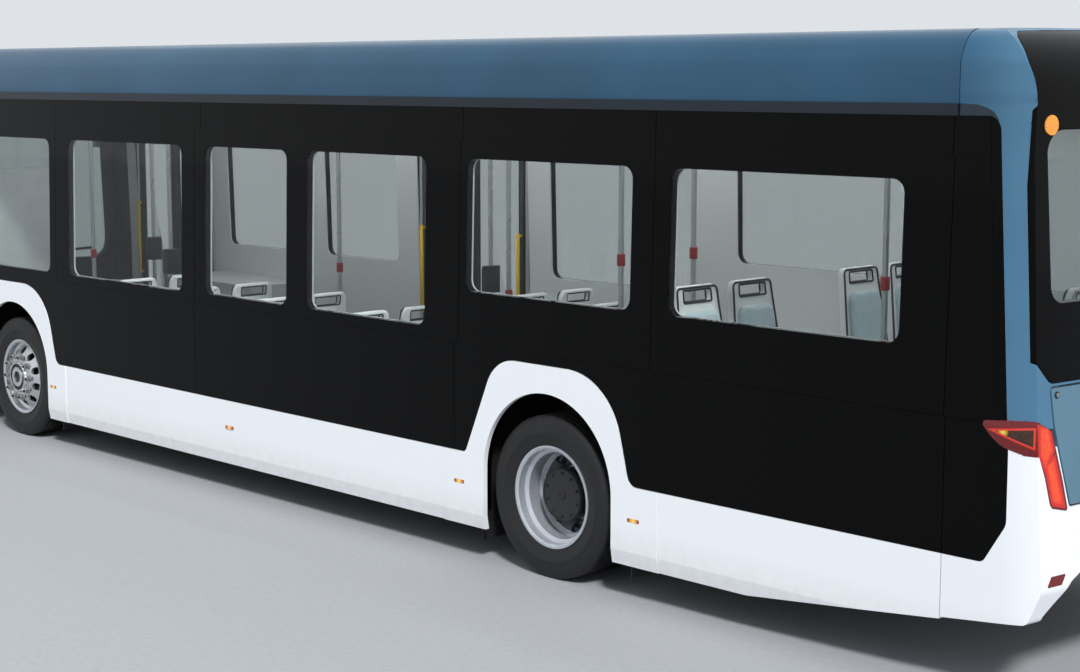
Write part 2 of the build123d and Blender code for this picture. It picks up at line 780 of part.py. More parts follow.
# Front axle: a dropped beam, with a knuckle on an upright kingpin at each end
kingpin_radius = 22
boss_half = 48
boss_radius = 55
yoke_gap = 2
yoke_thickness = 40
beam_width = 110
beam_outline = outline([
    (-kingpin_y, wheel_z - boss_half), (90 - kingpin_y, wheel_z - boss_half), (-640, 175), (640, 175),
    (kingpin_y - 90, wheel_z - boss_half), (kingpin_y, wheel_z - boss_half),
    (kingpin_y, wheel_z + boss_half), (kingpin_y - 100, wheel_z + boss_half), (600, 252), (-600, 252),
    (100 - kingpin_y, wheel_z + boss_half), (-kingpin_y, wheel_z + boss_half),
], [0, 20, 60, 60, 20, 0, 0, 40, 60, 60, 40, 0])
front_beam = along(beam_outline, front_axle_x - beam_width / 2, front_axle_x + beam_width / 2)
spring_seat_y = 500
for sign in (1, -1):
    pin_place = Pos(front_axle_x, sign * kingpin_y, wheel_z)
    front_beam = front_beam + pin_place * Cylinder(boss_radius, 2 * boss_half)
    front_beam = front_beam - pin_place * Cylinder(kingpin_radius + 0.05, 4 * boss_half)
    yoke_room = block((front_axle_x - 90, min(sign * (kingpin_y + boss_radius + 4), sign * 1300), 0),
                      (front_axle_x + 90, max(sign * (kingpin_y + boss_radius + 4), sign * 1300), 900))
    front_beam = front_beam - yoke_room
save("front_axle_beam", front_beam)

tie_rod_back = 190
tie_rod_z = 230
tie_rod_radius = 16
steering_arm_z = 250
steering_arm_half = 22
yoke_top = boss_half + yoke_gap + yoke_thickness
yoke_plate_y = kingpin_y + 66
yoke_plate_thickness = 30


def knuckle(sign):
    """Yoke, kingpin, wheel spindle and steering arm of one front wheel."""
    def mid(x, y, z):
        return Pos(front_axle_x + x, sign * y, z)
    body = mid(0, kingpin_y, wheel_z) * Cylinder(kingpin_radius, 2 * yoke_top)
    for level in (1, -1):
        middle_z = wheel_z + level * (boss_half + yoke_gap + yoke_thickness / 2)
        body = body + mid(0, kingpin_y, middle_z) * Cylinder(boss_radius, yoke_thickness)
        body = body + mid(0, kingpin_y + 48, middle_z) * Box(90, 96, yoke_thickness)
    body = body + mid(0, yoke_plate_y + yoke_plate_thickness / 2, wheel_z) * Box(110, yoke_plate_thickness, 2 * yoke_top)
    spindle = rod(
        (front_axle_x, sign * (yoke_plate_y + 10), wheel_z),
        (front_axle_x, sign * (wheel_y + 140), wheel_z),
        spindle_radius,
    )
    arm_z = wheel_z - yoke_top + yoke_thickness / 2
    arm = mid(-tie_rod_back / 2, kingpin_y, arm_z) * Box(tie_rod_back + 44, 2 * steering_arm_half, yoke_thickness)
    post = block(
        (front_axle_x - tie_rod_back - 22, sign * kingpin_y - steering_arm_half, steering_arm_z),
        (front_axle_x - tie_rod_back + 22, sign * kingpin_y + steering_arm_half, arm_z),
    )
    pin = mid(-tie_rod_back, kingpin_y, steering_arm_z - 20) * Cylinder(12, 44)
    return body + spindle + arm + post + pin


save("knuckle_left", knuckle(1))
save("knuckle_right", knuckle(-1))
rod_x = front_axle_x - tie_rod_back
tie_rod = rod((rod_x, 30 - kingpin_y, tie_rod_z), (rod_x, kingpin_y - 30, tie_rod_z), tie_rod_radius)
for sign in (1, -1):
    tie_rod = tie_rod + Pos(rod_x, sign * kingpin_y, tie_rod_z) * (Cylinder(32, 30) - Cylinder(12.3, 40))
save("tie_rod", tie_rod)

# Rear axle: a driven axle with its housing at the middle
axle_tube_radius = 85
rear_axle = rod((rear_axle_x, -620, wheel_z), (rear_axle_x, 620, wheel_z), axle_tube_radius)
diff_radius = 195
rear_axle = rear_axle + Pos(rear_axle_x, 0, wheel_z) * Sphere(diff_radius)
for sign in (1, -1):
    rear_axle = rear_axle + rod((rear_axle_x, sign * 600, wheel_z), (rear_axle_x, sign * (wheel_y - 40), wheel_z), 60)
for sign in (1, -1):
    rear_axle = rear_axle + block(
        (rear_axle_x - 420, sign * 470 - 60, wheel_z - 60), (rear_axle_x + 420, sign * 470 + 60, wheel_z + 10))
save("rear_axle", rear_axle)
motor_length = 600
drive_motor = Pos(rear_axle_x + diff_radius + fit_gap + motor_length / 2, 0, wheel_z) * Rot(0, 90, 0) * Cylinder(130, motor_length)
save("drive_motor", drive_motor)

# Frame: low rails under the front floor, raised over the rear axle
rail_y = 520
rail_width = 80
low_rail_z = (262, floor_top_z - floor_thickness)
high_rail_z = (620, deck_top_z - floor_thickness)
rail_side = outline([
    (tail_x + 330, high_rail_z[0]), (deck_front_x - 60, high_rail_z[0]), (deck_front_x - 60, low_rail_z[0]),
    (nose_x - 400, low_rail_z[0]), (nose_x - 400, low_rail_z[1]), (deck_front_x, low_rail_z[1]),
    (deck_front_x, high_rail_z[1]), (tail_x + 330, high_rail_z[1]),
])
frame = None
for sign in (1, -1):
    rail = across(rail_side, sign * rail_y - rail_width / 2, sign * rail_y + rail_width / 2)
    frame = rail if frame is None else frame + rail
member_half = half_width - 75
# Each as its x, the rail it lies in and its half length
cross_members = [
    (tail_x + 380, high_rail_z, member_half - 100), (rear_axle_x - 1900, high_rail_z, member_half),
    (rear_axle_x - 900, high_rail_z, member_half), (deck_front_x - 60, high_rail_z, member_half),
    (front_axle_x + 800, low_rail_z, member_half), (nose_x - 900, low_rail_z, member_half),
    (nose_x - 450, low_rail_z, member_half - 300),
]
cross_members += [(station(place), low_rail_z, member_half) for place in (1900, 2900, 3900, 4800, 5450)]
for x, (low, high), half in cross_members:
    frame = frame + block((x - 30, -half, low), (x + 30, half, high))
jack_x = station(4300)
jack_pad = (120, rail_width, 10)
for sign in (1, -1):
    pad_z = low_rail_z[0] - jack_pad[2] / 2
    frame = frame + Pos(jack_x, sign * rail_y, pad_z) * Box(*jack_pad)
save("chassis_frame", frame)
bellows_radius = 110
springs = []
for sign in (1, -1):
    springs.append(Pos(front_axle_x, sign * 520, (252 + low_rail_z[0]) / 2) * Cylinder(50, low_rail_z[0] - 252 - 0.6))
    for end in (1, -1):
        low, high = wheel_z + 10, high_rail_z[0]
        springs.append(Pos(rear_axle_x + end * 330, sign * 470, (low + high) / 2) * Cylinder(60, high - low - 0.6))
save("air_springs", *springs)

# Floor: the low floor with its step and riser, the raised rear deck, and a box over each wheel
box_half = 640
box_top_z = 1120
box_wall = 20
box_inner_y = 590
inner_y = panel_y - wall_thickness - fit_gap
riser_thickness = 20
step_size = (300, 800, 200)
bulkhead_top_z = 1500
deck_low_z = deck_top_z - floor_thickness


def wheel_box(middle_x, sign, grow=0):
    """The outside of one wheel box, open to the road and to the side."""
    low, high = sorted((sign * (box_inner_y - grow), sign * (inner_y + grow)))
    half = box_half + grow
    return block((middle_x - half, low, sill_z - grow), (middle_x + half, high, box_top_z + grow))


box_places = [(middle_x, sign) for middle_x in arches.values() for sign in (1, -1)]
low_floor = block((deck_front_x, -inner_y, sill_z), (wall_front_x, inner_y, floor_top_z))
riser = block((deck_front_x - riser_thickness, -inner_y, sill_z), (deck_front_x + 1, inner_y, deck_low_z))
step = block(
    (deck_front_x, -step_size[1] / 2, floor_top_z - 1),
    (deck_front_x + step_size[0], step_size[1] / 2, floor_top_z + step_size[2]),
)
low_floor = low_floor + riser + step
rear_deck = block((tail_x + 340, -inner_y, deck_low_z), (deck_front_x, inner_y, deck_top_z))
bulkhead = block((bulkhead_x - 20, -inner_y + 40, deck_top_z - 1), (bulkhead_x, inner_y - 40, bulkhead_top_z))
rear_deck = rear_deck + bulkhead
for middle_x, sign in box_places:
    low_floor = low_floor - wheel_box(middle_x, sign, fit_gap)
    rear_deck = rear_deck - wheel_box(middle_x, sign, fit_gap)
for sign in (1, -1):
    middle_y = sign * rail_y
    low_floor = low_floor - block(
        (deck_front_x - 60 - fit_gap, middle_y - rail_width / 2 - fit_gap, 0),
        (deck_front_x + fit_gap, middle_y + rail_width / 2 + fit_gap, high_rail_z[1]),
    )
save("low_floor", low_floor)
save("rear_deck", rear_deck)
axle_slot = block((rear_axle_x - 120, -inner_y, 0), (rear_axle_x + 120, inner_y, wheel_z + 130))
wheel_boxes = []
for middle_x, sign in box_places:
    low, high = sorted((sign * (box_inner_y + box_wall), sign * (inner_y + 50)))
    half = box_half - box_wall
    room = block((middle_x - half, low, 0), (middle_x + half, high, box_top_z - box_wall))
    wheel_boxes.append(wheel_box(middle_x, sign) - room - axle_slot)
save("wheel_boxes", *wheel_boxes)

# Doors
def door_leaf(jamb_x, towards):
    """One glazed leaf: jamb_x is the opening's edge beside its post, towards its meeting edge is +1 or -1."""
    post_x = jamb_x + towards * door_post_inset
    pivot_x = post_x + towards * door_arm_length
    near_x = post_x + towards * (door_post_radius + door_edge_gap)
    opening_half = (door_openings["front"][1] - door_openings["front"][0]) / 2
    far_x = jamb_x + towards * (opening_half - door_meeting_gap / 2)
    low_x, high_x = sorted((near_x, far_x))
    y = -door_plane_y
    half = door_thickness / 2
    panel = block((low_x, y - half, door_bottom_z), (high_x, y + half, door_top_z))
    border = 55
    middle = ((low_x + high_x) / 2, (door_bottom_z + door_top_z) / 2)
    width = high_x - low_x - 2 * border
    height = door_top_z - door_bottom_z - 2 * border - 60
    cut = Pos(middle[0], middle[1] + 30) * RectangleRounded(width, height, 60)
    glass = Pos(middle[0], middle[1] + 30) * RectangleRounded(width - 2 * fit_gap, height - 2 * fit_gap, 60 - fit_gap)
    panel = panel - across(cut, y - half - 5, y + half + 5)
    pane = across(glass, y - 12, y - 4)
    for end_z in (door_bottom_z + 16, door_top_z - 16):
        panel = panel - Pos(pivot_x, y, end_z) * Cylinder(door_pin_radius + fit_gap, 34)
    shoe_x = post_x + towards * 2 * door_arm_length
    panel = panel + Pos(shoe_x, y, door_top_z) * Cylinder(8, 2 * (door_header_z - door_top_z + 12))
    bar_x = near_x + towards * border / 2
    bar = rod((bar_x, y + half + 35, door_bottom_z + 620), (bar_x, y + half + 35, door_bottom_z + 1320), 14)
    for z in (door_bottom_z + 640, door_bottom_z + 1300):
        bar = bar + rod((bar_x, y + half - 2, z), (bar_x, y + half + 35, z), 10)
    return panel, pane, bar


def door_post(jamb_x, towards):
    """The turning post at a jamb with its arm under and over the leaf."""
    post_x = jamb_x + towards * door_post_inset
    pivot_x = post_x + towards * door_arm_length
    y = -door_plane_y
    post = Pos(post_x, y, (floor_top_z + door_header_z) / 2) * Cylinder(
        door_post_radius, door_header_z - floor_top_z - 2 * fit_gap)
    arm_face = Pos((post_x + pivot_x) / 2, y) * SlotCenterToCenter(door_arm_length, door_arm_width)
    low_z = floor_top_z + door_clearance
    high_z = door_top_z + door_clearance
    post = post + upward(arm_face, low_z, low_z + door_arm_thickness)
    post = post + upward(arm_face, high_z, high_z + door_arm_thickness)
    post = post + Pos(pivot_x, y, low_z + 22) * Cylinder(door_pin_radius, 44)
    return post + Pos(pivot_x, y, high_z - 8) * Cylinder(door_pin_radius, 44)


headers = []
for name, (low_x, high_x) in door_openings.items():
    for place, jamb_x, towards in (("rear", low_x, 1), ("front", high_x, -1)):
        panel, pane, bar = door_leaf(jamb_x, towards)
        save(name + "_door_" + place + "_leaf", panel + bar, pane)
        save(name + "_door_" + place + "_post", door_post(jamb_x, towards))
    header = block(
        (low_x + fit_gap, -door_plane_y - 20, door_header_z),
        (high_x - fit_gap, -door_plane_y + 100, door_header_z + door_header_height - fit_gap),
    )
    slot_y = (-door_plane_y - 12, -door_plane_y + 12)
    header = header - block((low_x + 40, slot_y[0], 0), (high_x - 40, slot_y[1], door_header_z + 18))
    headers.append(header)
save("door_headers", *headers)

# Roof equipment in the well between the coves
pack_size = (1250, 1440, 230)
aircon_size = (2100, 1440, 300)
cooler_size = (1300, 1300, 220)
# Each as its station, its size and the radius of its upright edges
roof_table = [(x, pack_size, 40) for x in (-1500, -150, 1200, 2550)] + [(4550, aircon_size, 80), (6700, cooler_size, 30)]
units = []
for place, size, radius in roof_table:
    unit = fillet(Box(*size).edges().filter_by(Axis.Z), radius)
    units.append(Pos(station(place), 0, ledge_top_z + fit_gap + size[2] / 2) * unit)
save("roof_units", *units)

# Inside: driver's place
driver_x = nose_x - 1560
driver_y = 640
seat_width = 430


def seat_shell(x, y, base_z, facing=1):
    """A passenger seat in one shell: cushion, pedestal, and a back with a loop to hold on its top."""
    side = outline([
        (-60, 400), (390, 430), (400, 390), (120, 340), (120, 0), (40, 0), (40, 330), (-90, 330),
        (-190, 1000), (-150, 1010),
    ], [60, 20, 15, 30, 0, 0, 20, 60, 15, 15])
    seat = across(side, y - seat_width / 2, y + seat_width / 2)
    face = Pos(y, 600) * RectangleRounded(seat_width, 820, 70)
    face = face + Pos(y, 100) * Rectangle(seat_width, 300)
    face = face - Pos(y, 945) * RectangleRounded(seat_width - 130, 50, 20)
    seat = seat & along(face, -300, 500)
    if facing < 0:
        seat = mirror(seat, Plane.YZ)
    return Pos(x, 0, base_z + fit_gap) * seat


driver_seat = seat_shell(driver_x, driver_y, floor_top_z + 200)
plinth = block((driver_x - 150, driver_y - 240, floor_top_z + fit_gap), (driver_x + 330, driver_y + 240, floor_top_z + 200 + fit_gap))
save("driver_seat", driver_seat + plinth)
dash_rear_x = nose_x - 920
dash_outline = outline([
    (dash_rear_x, 960), (dash_rear_x + 120, 1090), (dash_rear_x + 300, 1110), (dash_rear_x + 300, floor_top_z + fit_gap),
    (dash_rear_x + 240, floor_top_z + fit_gap), (dash_rear_x + 150, 800)], [30, 40, 20, 0, 0, 60])
dash = across(dash_outline, -200, half_width - 125)
steering_hub = Vector(dash_rear_x - 75, driver_y, 1102)
column_line = Vector(-0.743, 0, 0.669)
hub_half = 20
column_end = steering_hub - column_line * (hub_half + fit_gap)
column_start = steering_hub - column_line * 300
column = rod(column_start, column_end, 35)
save("dashboard", dash + column)
wheel_plane = Plane(origin=steering_hub, z_dir=column_line)
steering_wheel = wheel_plane * Torus(210, 15) + wheel_plane * Cylinder(40, 2 * hub_half) + wheel_plane * Box(400, 40, 14)
save("steering_wheel", steering_wheel)
partition_x = station(7000)
partition_top_z = 2100
partition = block((partition_x, 260, floor_top_z + fit_gap), (partition_x + 25, inner_y - 30, partition_top_z))
save("driver_partition", partition)

# Destination display, under the roof behind the windscreen
display = block((nose_x - 660, 165 - half_width + 310, 2450), (nose_x - 540, half_width - 475, wall_top_z - fit_gap))
save("displays", display)

# Passenger seats in pairs: station, the height they stand on, facing, and the sides that have them
seat_rows = [
    (-2200, deck_top_z, 1, (1, -1)), (-1020, deck_top_z, -1, (1, -1)),
    (1400, floor_top_z, 1, (1, -1)), (2150, floor_top_z, 1, (1, -1)),
    (3200, floor_top_z, 1, (1,)), (4100, floor_top_z, 1, (1,)), (4950, floor_top_z, 1, (1,)),
]
window_seat_y = half_width - 315
seats = []
for place, base_z, facing, signs in seat_rows:
    for sign in signs:
        for y in (sign * (window_seat_y - 460), sign * window_seat_y):
            seats.append(seat_shell(station(place), y, base_z, facing))
save("passenger_seats", *seats)

# Grab poles from floor to ceiling, and a rail along each side
poles = []
pole_radius = 17
# Each as its station, y and the floor it stands on
pole_table = [
    (1950, 262, floor_top_z), (1950, -262, floor_top_z), (4300, -600, floor_top_z), (2620, -700, floor_top_z),
    (5400, 262, floor_top_z), (6700, 200, floor_top_z), (6700, -400, floor_top_z), (3600, 262, floor_top_z),
    (300, 330, deck_top_z), (300, -330, deck_top_z), (-1610, 262, deck_top_z), (-1610, -262, deck_top_z),
]
for place, y, base_z in pole_table:
    x = station(place)
    poles.append(rod((x, y, base_z + fit_gap), (x, y, wall_top_z - fit_gap), pole_radius))
save("grab_poles", *poles)

# Outside trim: mirrors, wipers, flaps and lamps
mirrors = []
for sign in (1, -1):
    arm = rod((nose_x - 330, sign * (half_width - 155), 2620), (nose_x - 50, sign * (half_width - 95), 2560), 18)
    head = Pos(nose_x - 50, sign * (half_width - 95), 2380) * fillet(Box(90, 150, 380).edges().filter_by(Axis.Z), 20)
    mirrors.append((arm - outer_form) + head)
save("mirrors", *mirrors)
flaps = []
flap_thickness = 8
flap_x = [arches["rear"] - box_half + box_wall + fit_gap, arches["front"] - box_half + box_wall + fit_gap,
          arches["rear"] + box_half - box_wall - fit_gap - flap_thickness]
for sign in (1, -1):
    for x in flap_x:
        flaps.append(Pos(x + flap_thickness / 2, sign * 1075, 330) * Box(flap_thickness, 250, 420))
save("mud_flaps", *flaps)
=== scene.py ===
import bpy
from functools import partial
from math import cos, pi, radians, sin, tau
from mathutils import Matrix, Vector


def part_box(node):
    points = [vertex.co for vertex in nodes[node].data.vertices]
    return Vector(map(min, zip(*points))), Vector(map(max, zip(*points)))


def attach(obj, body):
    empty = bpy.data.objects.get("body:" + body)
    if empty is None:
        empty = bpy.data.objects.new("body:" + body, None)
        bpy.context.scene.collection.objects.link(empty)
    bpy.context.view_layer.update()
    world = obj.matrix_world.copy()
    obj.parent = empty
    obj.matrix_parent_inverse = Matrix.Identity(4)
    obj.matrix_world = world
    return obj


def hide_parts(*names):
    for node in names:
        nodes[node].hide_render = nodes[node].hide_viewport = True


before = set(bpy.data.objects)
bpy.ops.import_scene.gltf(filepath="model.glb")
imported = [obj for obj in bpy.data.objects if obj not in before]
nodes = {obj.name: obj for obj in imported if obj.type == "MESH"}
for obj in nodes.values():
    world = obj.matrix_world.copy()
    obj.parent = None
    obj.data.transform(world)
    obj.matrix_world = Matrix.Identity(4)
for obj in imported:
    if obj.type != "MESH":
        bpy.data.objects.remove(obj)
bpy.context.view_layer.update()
print("frame:", len(nodes), "nodes")


# Making and finishing pieces

def leaveEdit():
    bpy.ops.object.mode_set(mode="OBJECT")


def takeUp(*pieces):  # these alone are selected, and the last one is active
    if bpy.context.object and bpy.context.object.mode != "OBJECT":
        leaveEdit()
    bpy.ops.object.select_all(action="DESELECT")
    for piece in pieces:
        piece.select_set(True)
    if pieces:
        bpy.context.view_layer.objects.active = pieces[-1]


def named(name):
    piece = bpy.context.object
    piece.name = name
    piece.data.name = name
    bpy.ops.object.transform_apply(location=True, rotation=True, scale=True)
    return piece


def startBlock(name, low, high):
    takeUp()
    low, high = Vector(low), Vector(high)
    bpy.ops.mesh.primitive_cube_add(size=1, location=(low + high) / 2)
    bpy.context.object.scale = high - low
    return named(name)


turnOf = {"X": (0, pi / 2, 0), "Y": (-pi / 2, 0, 0), "Z": (0, 0, 0)}


def startRound(name, centre, radius, depth, axis="Z", sides=32):
    takeUp()
    bpy.ops.mesh.primitive_cylinder_add(
        vertices=sides, radius=radius, depth=depth, location=centre, rotation=turnOf[axis])
    return named(name)


def pick(piece, kind="VERT", test=None):  # into edit mode, with all selected, or the faces or edges that pass the test
    takeUp(piece)
    bpy.ops.object.mode_set(mode="EDIT")
    bpy.ops.mesh.select_mode(type=kind)
    bpy.ops.mesh.select_all(action="DESELECT" if test else "SELECT")
    if test:
        leaveEdit()
        mesh = piece.data
        for face in mesh.polygons if kind == "FACE" else []:
            face.select = bool(test(face))
        for edge in mesh.edges if kind == "EDGE" else []:
            edge.select = bool(test(*(mesh.vertices[i].co for i in edge.vertices)))
        bpy.ops.object.mode_set(mode="EDIT")


def turnOutwards():  # from edit mode: every face looks outwards
    bpy.ops.mesh.select_all(action="SELECT")
    bpy.ops.mesh.normals_make_consistent(inside=False)
    leaveEdit()


def startOutline(name, corners, depth):  # a flat outline, drawn out by a vector
    takeUp()
    bpy.ops.mesh.primitive_circle_add(vertices=len(corners), radius=1, location=(0, 0, 0))
    piece = named(name)
    for point, corner in zip(piece.data.vertices, corners):
        point.co = corner
    pick(piece)
    bpy.ops.mesh.edge_face_add()
    bpy.ops.mesh.extrude_region_move(TRANSFORM_OT_translate={"value": depth})
    turnOutwards()
    return piece


def cutAcross(piece, axis, places):  # flat cuts right through a piece, so that it can bend there
    for place in places:
        pick(piece)
        bpy.ops.mesh.bisect(plane_co=axis * place, plane_no=axis)
        leaveEdit()


def modify(piece, kind, **settings):
    takeUp(piece)
    bpy.ops.object.modifier_add(type=kind)
    modifier = piece.modifiers[-1]
    for name, value in settings.items():
        setattr(modifier, name, value)
    bpy.ops.object.modifier_apply(modifier=modifier.name)


def soften(piece, width, segments=2, angle=40):
    modify(piece, "BEVEL", width=width, segments=segments, limit_method="ANGLE",
           angle_limit=radians(angle), harden_normals=False)
    return piece


def roundCorners(piece, offset, segments, test):
    pick(piece, "EDGE", test)
    bpy.ops.mesh.bevel(offset=offset, segments=segments, affect="EDGES")
    leaveEdit()


def smooth(piece, degrees=40):
    takeUp(piece)
    bpy.ops.object.shade_smooth_by_angle(angle=radians(degrees))
    return piece


def coloured(piece, material):
    piece.data.materials.clear()
    piece.data.materials.append(material)
    return piece


def joined(name, pieces):
    takeUp(*pieces)
    if len(pieces) > 1:
        bpy.ops.object.join()
    piece = bpy.context.object
    piece.name = name
    piece.data.name = name
    return piece


def copied(piece, places):  # one copy for each place, with its own mesh; the pattern piece goes
    result = []
    for place in places:
        takeUp(piece)
        bpy.ops.object.duplicate()
        twin = bpy.context.object
        twin.data.transform(place)
        if place.determinant() < 0:
            twin.data.flip_normals()
        result.append(twin)
    bpy.data.objects.remove(piece)
    return result


def moved(x, y, z):
    return Matrix.Translation((x, y, z))


def turned(angle, axis):
    return Matrix.Rotation(angle, 4, axis)


bothSides = [Matrix.Identity(4), Matrix.Scale(-1, 4, (0, 1, 0))]


def held(share):
    return min(1, max(0, share))


def placed(name, pieces, slot, *replaces, body="bus_body"):  # the pieces as one, riding on a body
    piece = joined(name, pieces)
    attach(piece, body)
    if replaces:
        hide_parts(*replaces)
    return piece


def turnRing(name, stations, sides, closed=True):  # a ring about Y through stations of (y, radius)
    takeUp()
    y, radius = stations[0]
    bpy.ops.mesh.primitive_circle_add(
        vertices=sides, radius=radius, location=(0, y, 0), rotation=(pi / 2, 0, 0))
    piece = named(name)
    pick(piece)
    for nextY, nextRadius in stations[1:]:
        bpy.ops.mesh.extrude_region_move(TRANSFORM_OT_translate={"value": (0, nextY - y, 0)})
        share = nextRadius / radius
        bpy.ops.transform.resize(value=(share, 1, share), center_override=(0, nextY, 0))
        y, radius = nextY, nextRadius
    if closed:
        bpy.ops.mesh.select_mode(type="EDGE")
        bpy.ops.mesh.select_all(action="DESELECT")
        bpy.ops.mesh.select_non_manifold()
        bpy.ops.mesh.bridge_edge_loops()
    turnOutwards()
    return piece


def tube(name, points, radius, sides=8, closed=False):  # a bent round tube through a few points
    curve = bpy.data.curves.new(name, "CURVE")
    curve.dimensions = "3D"
    spline = curve.splines.new("NURBS")
    spline.points.add(len(points) - 1)
    for point, place in zip(spline.points, points):
        point.co = (*place, 1)
    spline.order_u = 3
    spline.use_endpoint_u = not closed
    spline.use_cyclic_u = closed
    curve.resolution_u = 5
    curve.bevel_depth = radius
    curve.bevel_resolution = max(0, sides // 4 - 1)
    curve.use_fill_caps = not closed
    piece = bpy.data.objects.new(name, curve)
    bpy.context.scene.collection.objects.link(piece)
    takeUp(piece)
    bpy.ops.object.convert(target="MESH")
    piece = bpy.context.object
    pick(piece)
    bpy.ops.mesh.remove_doubles(threshold=0.00001)
    turnOutwards()
    return smooth(piece, 50)


def nodeCopy(node, keep=None):  # a merged copy of a node's mesh, or of its loose parts that pass keep
    piece = bpy.data.objects.new("copy", nodes[node].data.copy())
    bpy.context.scene.collection.objects.link(piece)
    pick(piece)
    bpy.ops.mesh.remove_doubles(threshold=0.00002)
    if keep:
        bpy.ops.mesh.separate(type="LOOSE")
        leaveEdit()
        kept = []
        for part in list(bpy.context.selected_objects):
            low, high = (Vector([least(point.co[i] for point in part.data.vertices) for i in range(3)])
                         for least in (min, max))
            if keep(low, high):
                kept.append(part)
            else:
                bpy.data.objects.remove(part)
        piece = joined("copy", kept)
    leaveEdit()
    return smooth(piece, 30)


def partBoxes(node):  # the low and high corners of each loose part, and the middle of its top
    found = []

    def note(low, high):
        found.append((low, high))
        return True

    whole = nodeCopy(node, note)
    tops = []
    for low, high in found:
        near = [v.co.x for v in whole.data.vertices if v.co.z > high.z - 0.03
                and all(low[i] - 0.001 < v.co[i] < high[i] + 0.001 for i in range(3))]
        tops.append(sum(near) / len(near))
    bpy.data.objects.remove(whole)
    return [(low, high, top) for (low, high), top in zip(found, tops)]


def middleOf(node):
    low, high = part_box(node)
    return (low + high) / 2


# Materials

millimetre = 0.001
waveUnit = 0.157  # half of what one wave of the wave texture takes at a scale of 1
modeOf = {"Math": "operation", "VectorMath": "operation", "TexWave": "bands_direction", "TexVoronoi": "distance",
          "Mix": "data_type"}


def linear(hexColour):
    channels = [int(hexColour[i:i + 2], 16) / 255 for i in (0, 2, 4)]
    return tuple(c / 12.92 if c <= 0.04045 else ((c + 0.055) / 1.055) ** 2.4 for c in channels) + (1,)


def give(sockets, values):  # each socket gets its link, hex colour or plain value
    for socket, value in zip(sockets, values):
        if isinstance(value, bpy.types.NodeSocket):
            socket.id_data.links.new(value, socket)
        else:
            socket.default_value = linear(value) if isinstance(value, str) else value


def wire(node, **sockets):
    give([node.inputs[name.replace("_", " ")] for name in sockets], sockets.values())


def addNode(tree, kind, *values, out=None, mm=None, **sockets):  # gives the node's first output, or the one named
    kind, _, mode = kind.partition(" ")
    node = tree.nodes.new("ShaderNode" + kind)
    if mode:
        setattr(node, modeOf[kind], mode)
    if mm:  # a pattern with features of so many millimetres
        sockets["Scale"] = (waveUnit if kind == "TexWave" else 1) / (mm * millimetre)
    give([socket for socket in node.inputs if socket.enabled], values)
    wire(node, **sockets)
    return node.outputs[out] if out else next((socket for socket in node.outputs if socket.enabled), None)


def newMaterial(name, base, roughness, **sockets):
    material = bpy.data.materials.new(name)
    material.use_nodes = True
    shader = material.node_tree.nodes["Principled BSDF"]
    wire(shader, Base_Color=base, Roughness=roughness, **sockets)
    add = partial(addNode, material.node_tree)
    return material, add, shader, add("TexCoord", out="Object")


def openedUp(material):  # what a further layer on a finished material needs, its colour so far among it
    shader = material.node_tree.nodes["Principled BSDF"]
    add = partial(addNode, material.node_tree)
    return add, shader, shader.inputs["Base Color"].links[0].from_socket, add("TexCoord", out="Object")


def depthInside(add, coords, corners):  # how far a point lies inside a flat convex outline, corners in turn
    depth = None
    corners = [Vector(corner) for corner in corners]
    middle = sum(corners, Vector()) / len(corners)
    flat = (corners[1] - corners[0]).cross(corners[2] - corners[0])
    for start, end in zip(corners, corners[1:] + corners[:1]):
        inward = (end - start).cross(flat).normalized()
        if inward.dot(middle - start) < 0:
            inward = -inward
        edge = add("Math SUBTRACT", add("VectorMath DOT_PRODUCT", coords, inward), inward.dot(start))
        depth = add("Math MINIMUM", depth, edge) if depth else edge
    return depth


frontAxle, rearAxle = middleOf("front_left_tyre").x, middleOf("rear_left_tyres").x


def beyondAxle(add, coords):  # distance along the bus from the nearer axle
    along = add("Math SUBTRACT", add("SeparateXYZ", coords, out="X"), (frontAxle + rearAxle) / 2)
    fromAxle = add("Math SUBTRACT", add("Math ABSOLUTE", along), (frontAxle - rearAxle) / 2)
    return add("Math ABSOLUTE", fromAxle)


def sprayedPaint(name, base, shade, waveMm, waveDepth, roughness=0.32, coat=1.0, **sockets):
    # Sprayed and lacquered body paint: a slow drift of tone, the panel's own faint waves and orange peel
    material, add, shader, coords = newMaterial(
        name, base, roughness, Coat_Weight=coat, Coat_Roughness=0.03, **sockets)
    drift = add("MapRange", add("TexNoise", coords, mm=900, Detail=3.0), 0.35, 0.68)
    wave = add("TexNoise", coords, mm=waveMm, Detail=1.0)
    peel = add("TexNoise", coords, mm=14, Detail=1.0)
    bump = add("Bump", Height=peel, Strength=0.35, Distance=0.00012,
               Normal=add("Bump", Height=wave, Strength=1.0, Distance=waveDepth))
    wire(shader, Base_Color=add("Mix RGBA", drift, base, shade), Normal=bump, Coat_Normal=bump)
    return material, add, shader, coords


def bluePaint(name="lacqueredTealPaint", base="2a5673", shade="244c66"):
    # Two-coat teal blue with a fine flake: the flake lifts the tone where light falls square on
    material, add, shader, coords = sprayedPaint(
        name, base, shade, 420, 0.0022, coat=0.25, Metallic=0.2, Specular_IOR_Level=0.35)
    wire(shader, Roughness=add("MapRange", add("TexVoronoi", coords, mm=3), 0.0, 0.7, 0.24, 0.36))
    return material


# Side-view outline of where the ledges' painted shadow band ends round the rear corner
ledgeShadowEnd = [(-5.50, 0, 2.596), (-5.50, 0, 2.757), (-5.60, 0, 2.752), (-5.65, 0, 2.738), (-5.688, 0, 2.718),
            (-5.712, 0, 2.684), (-5.727, 0, 2.596)]


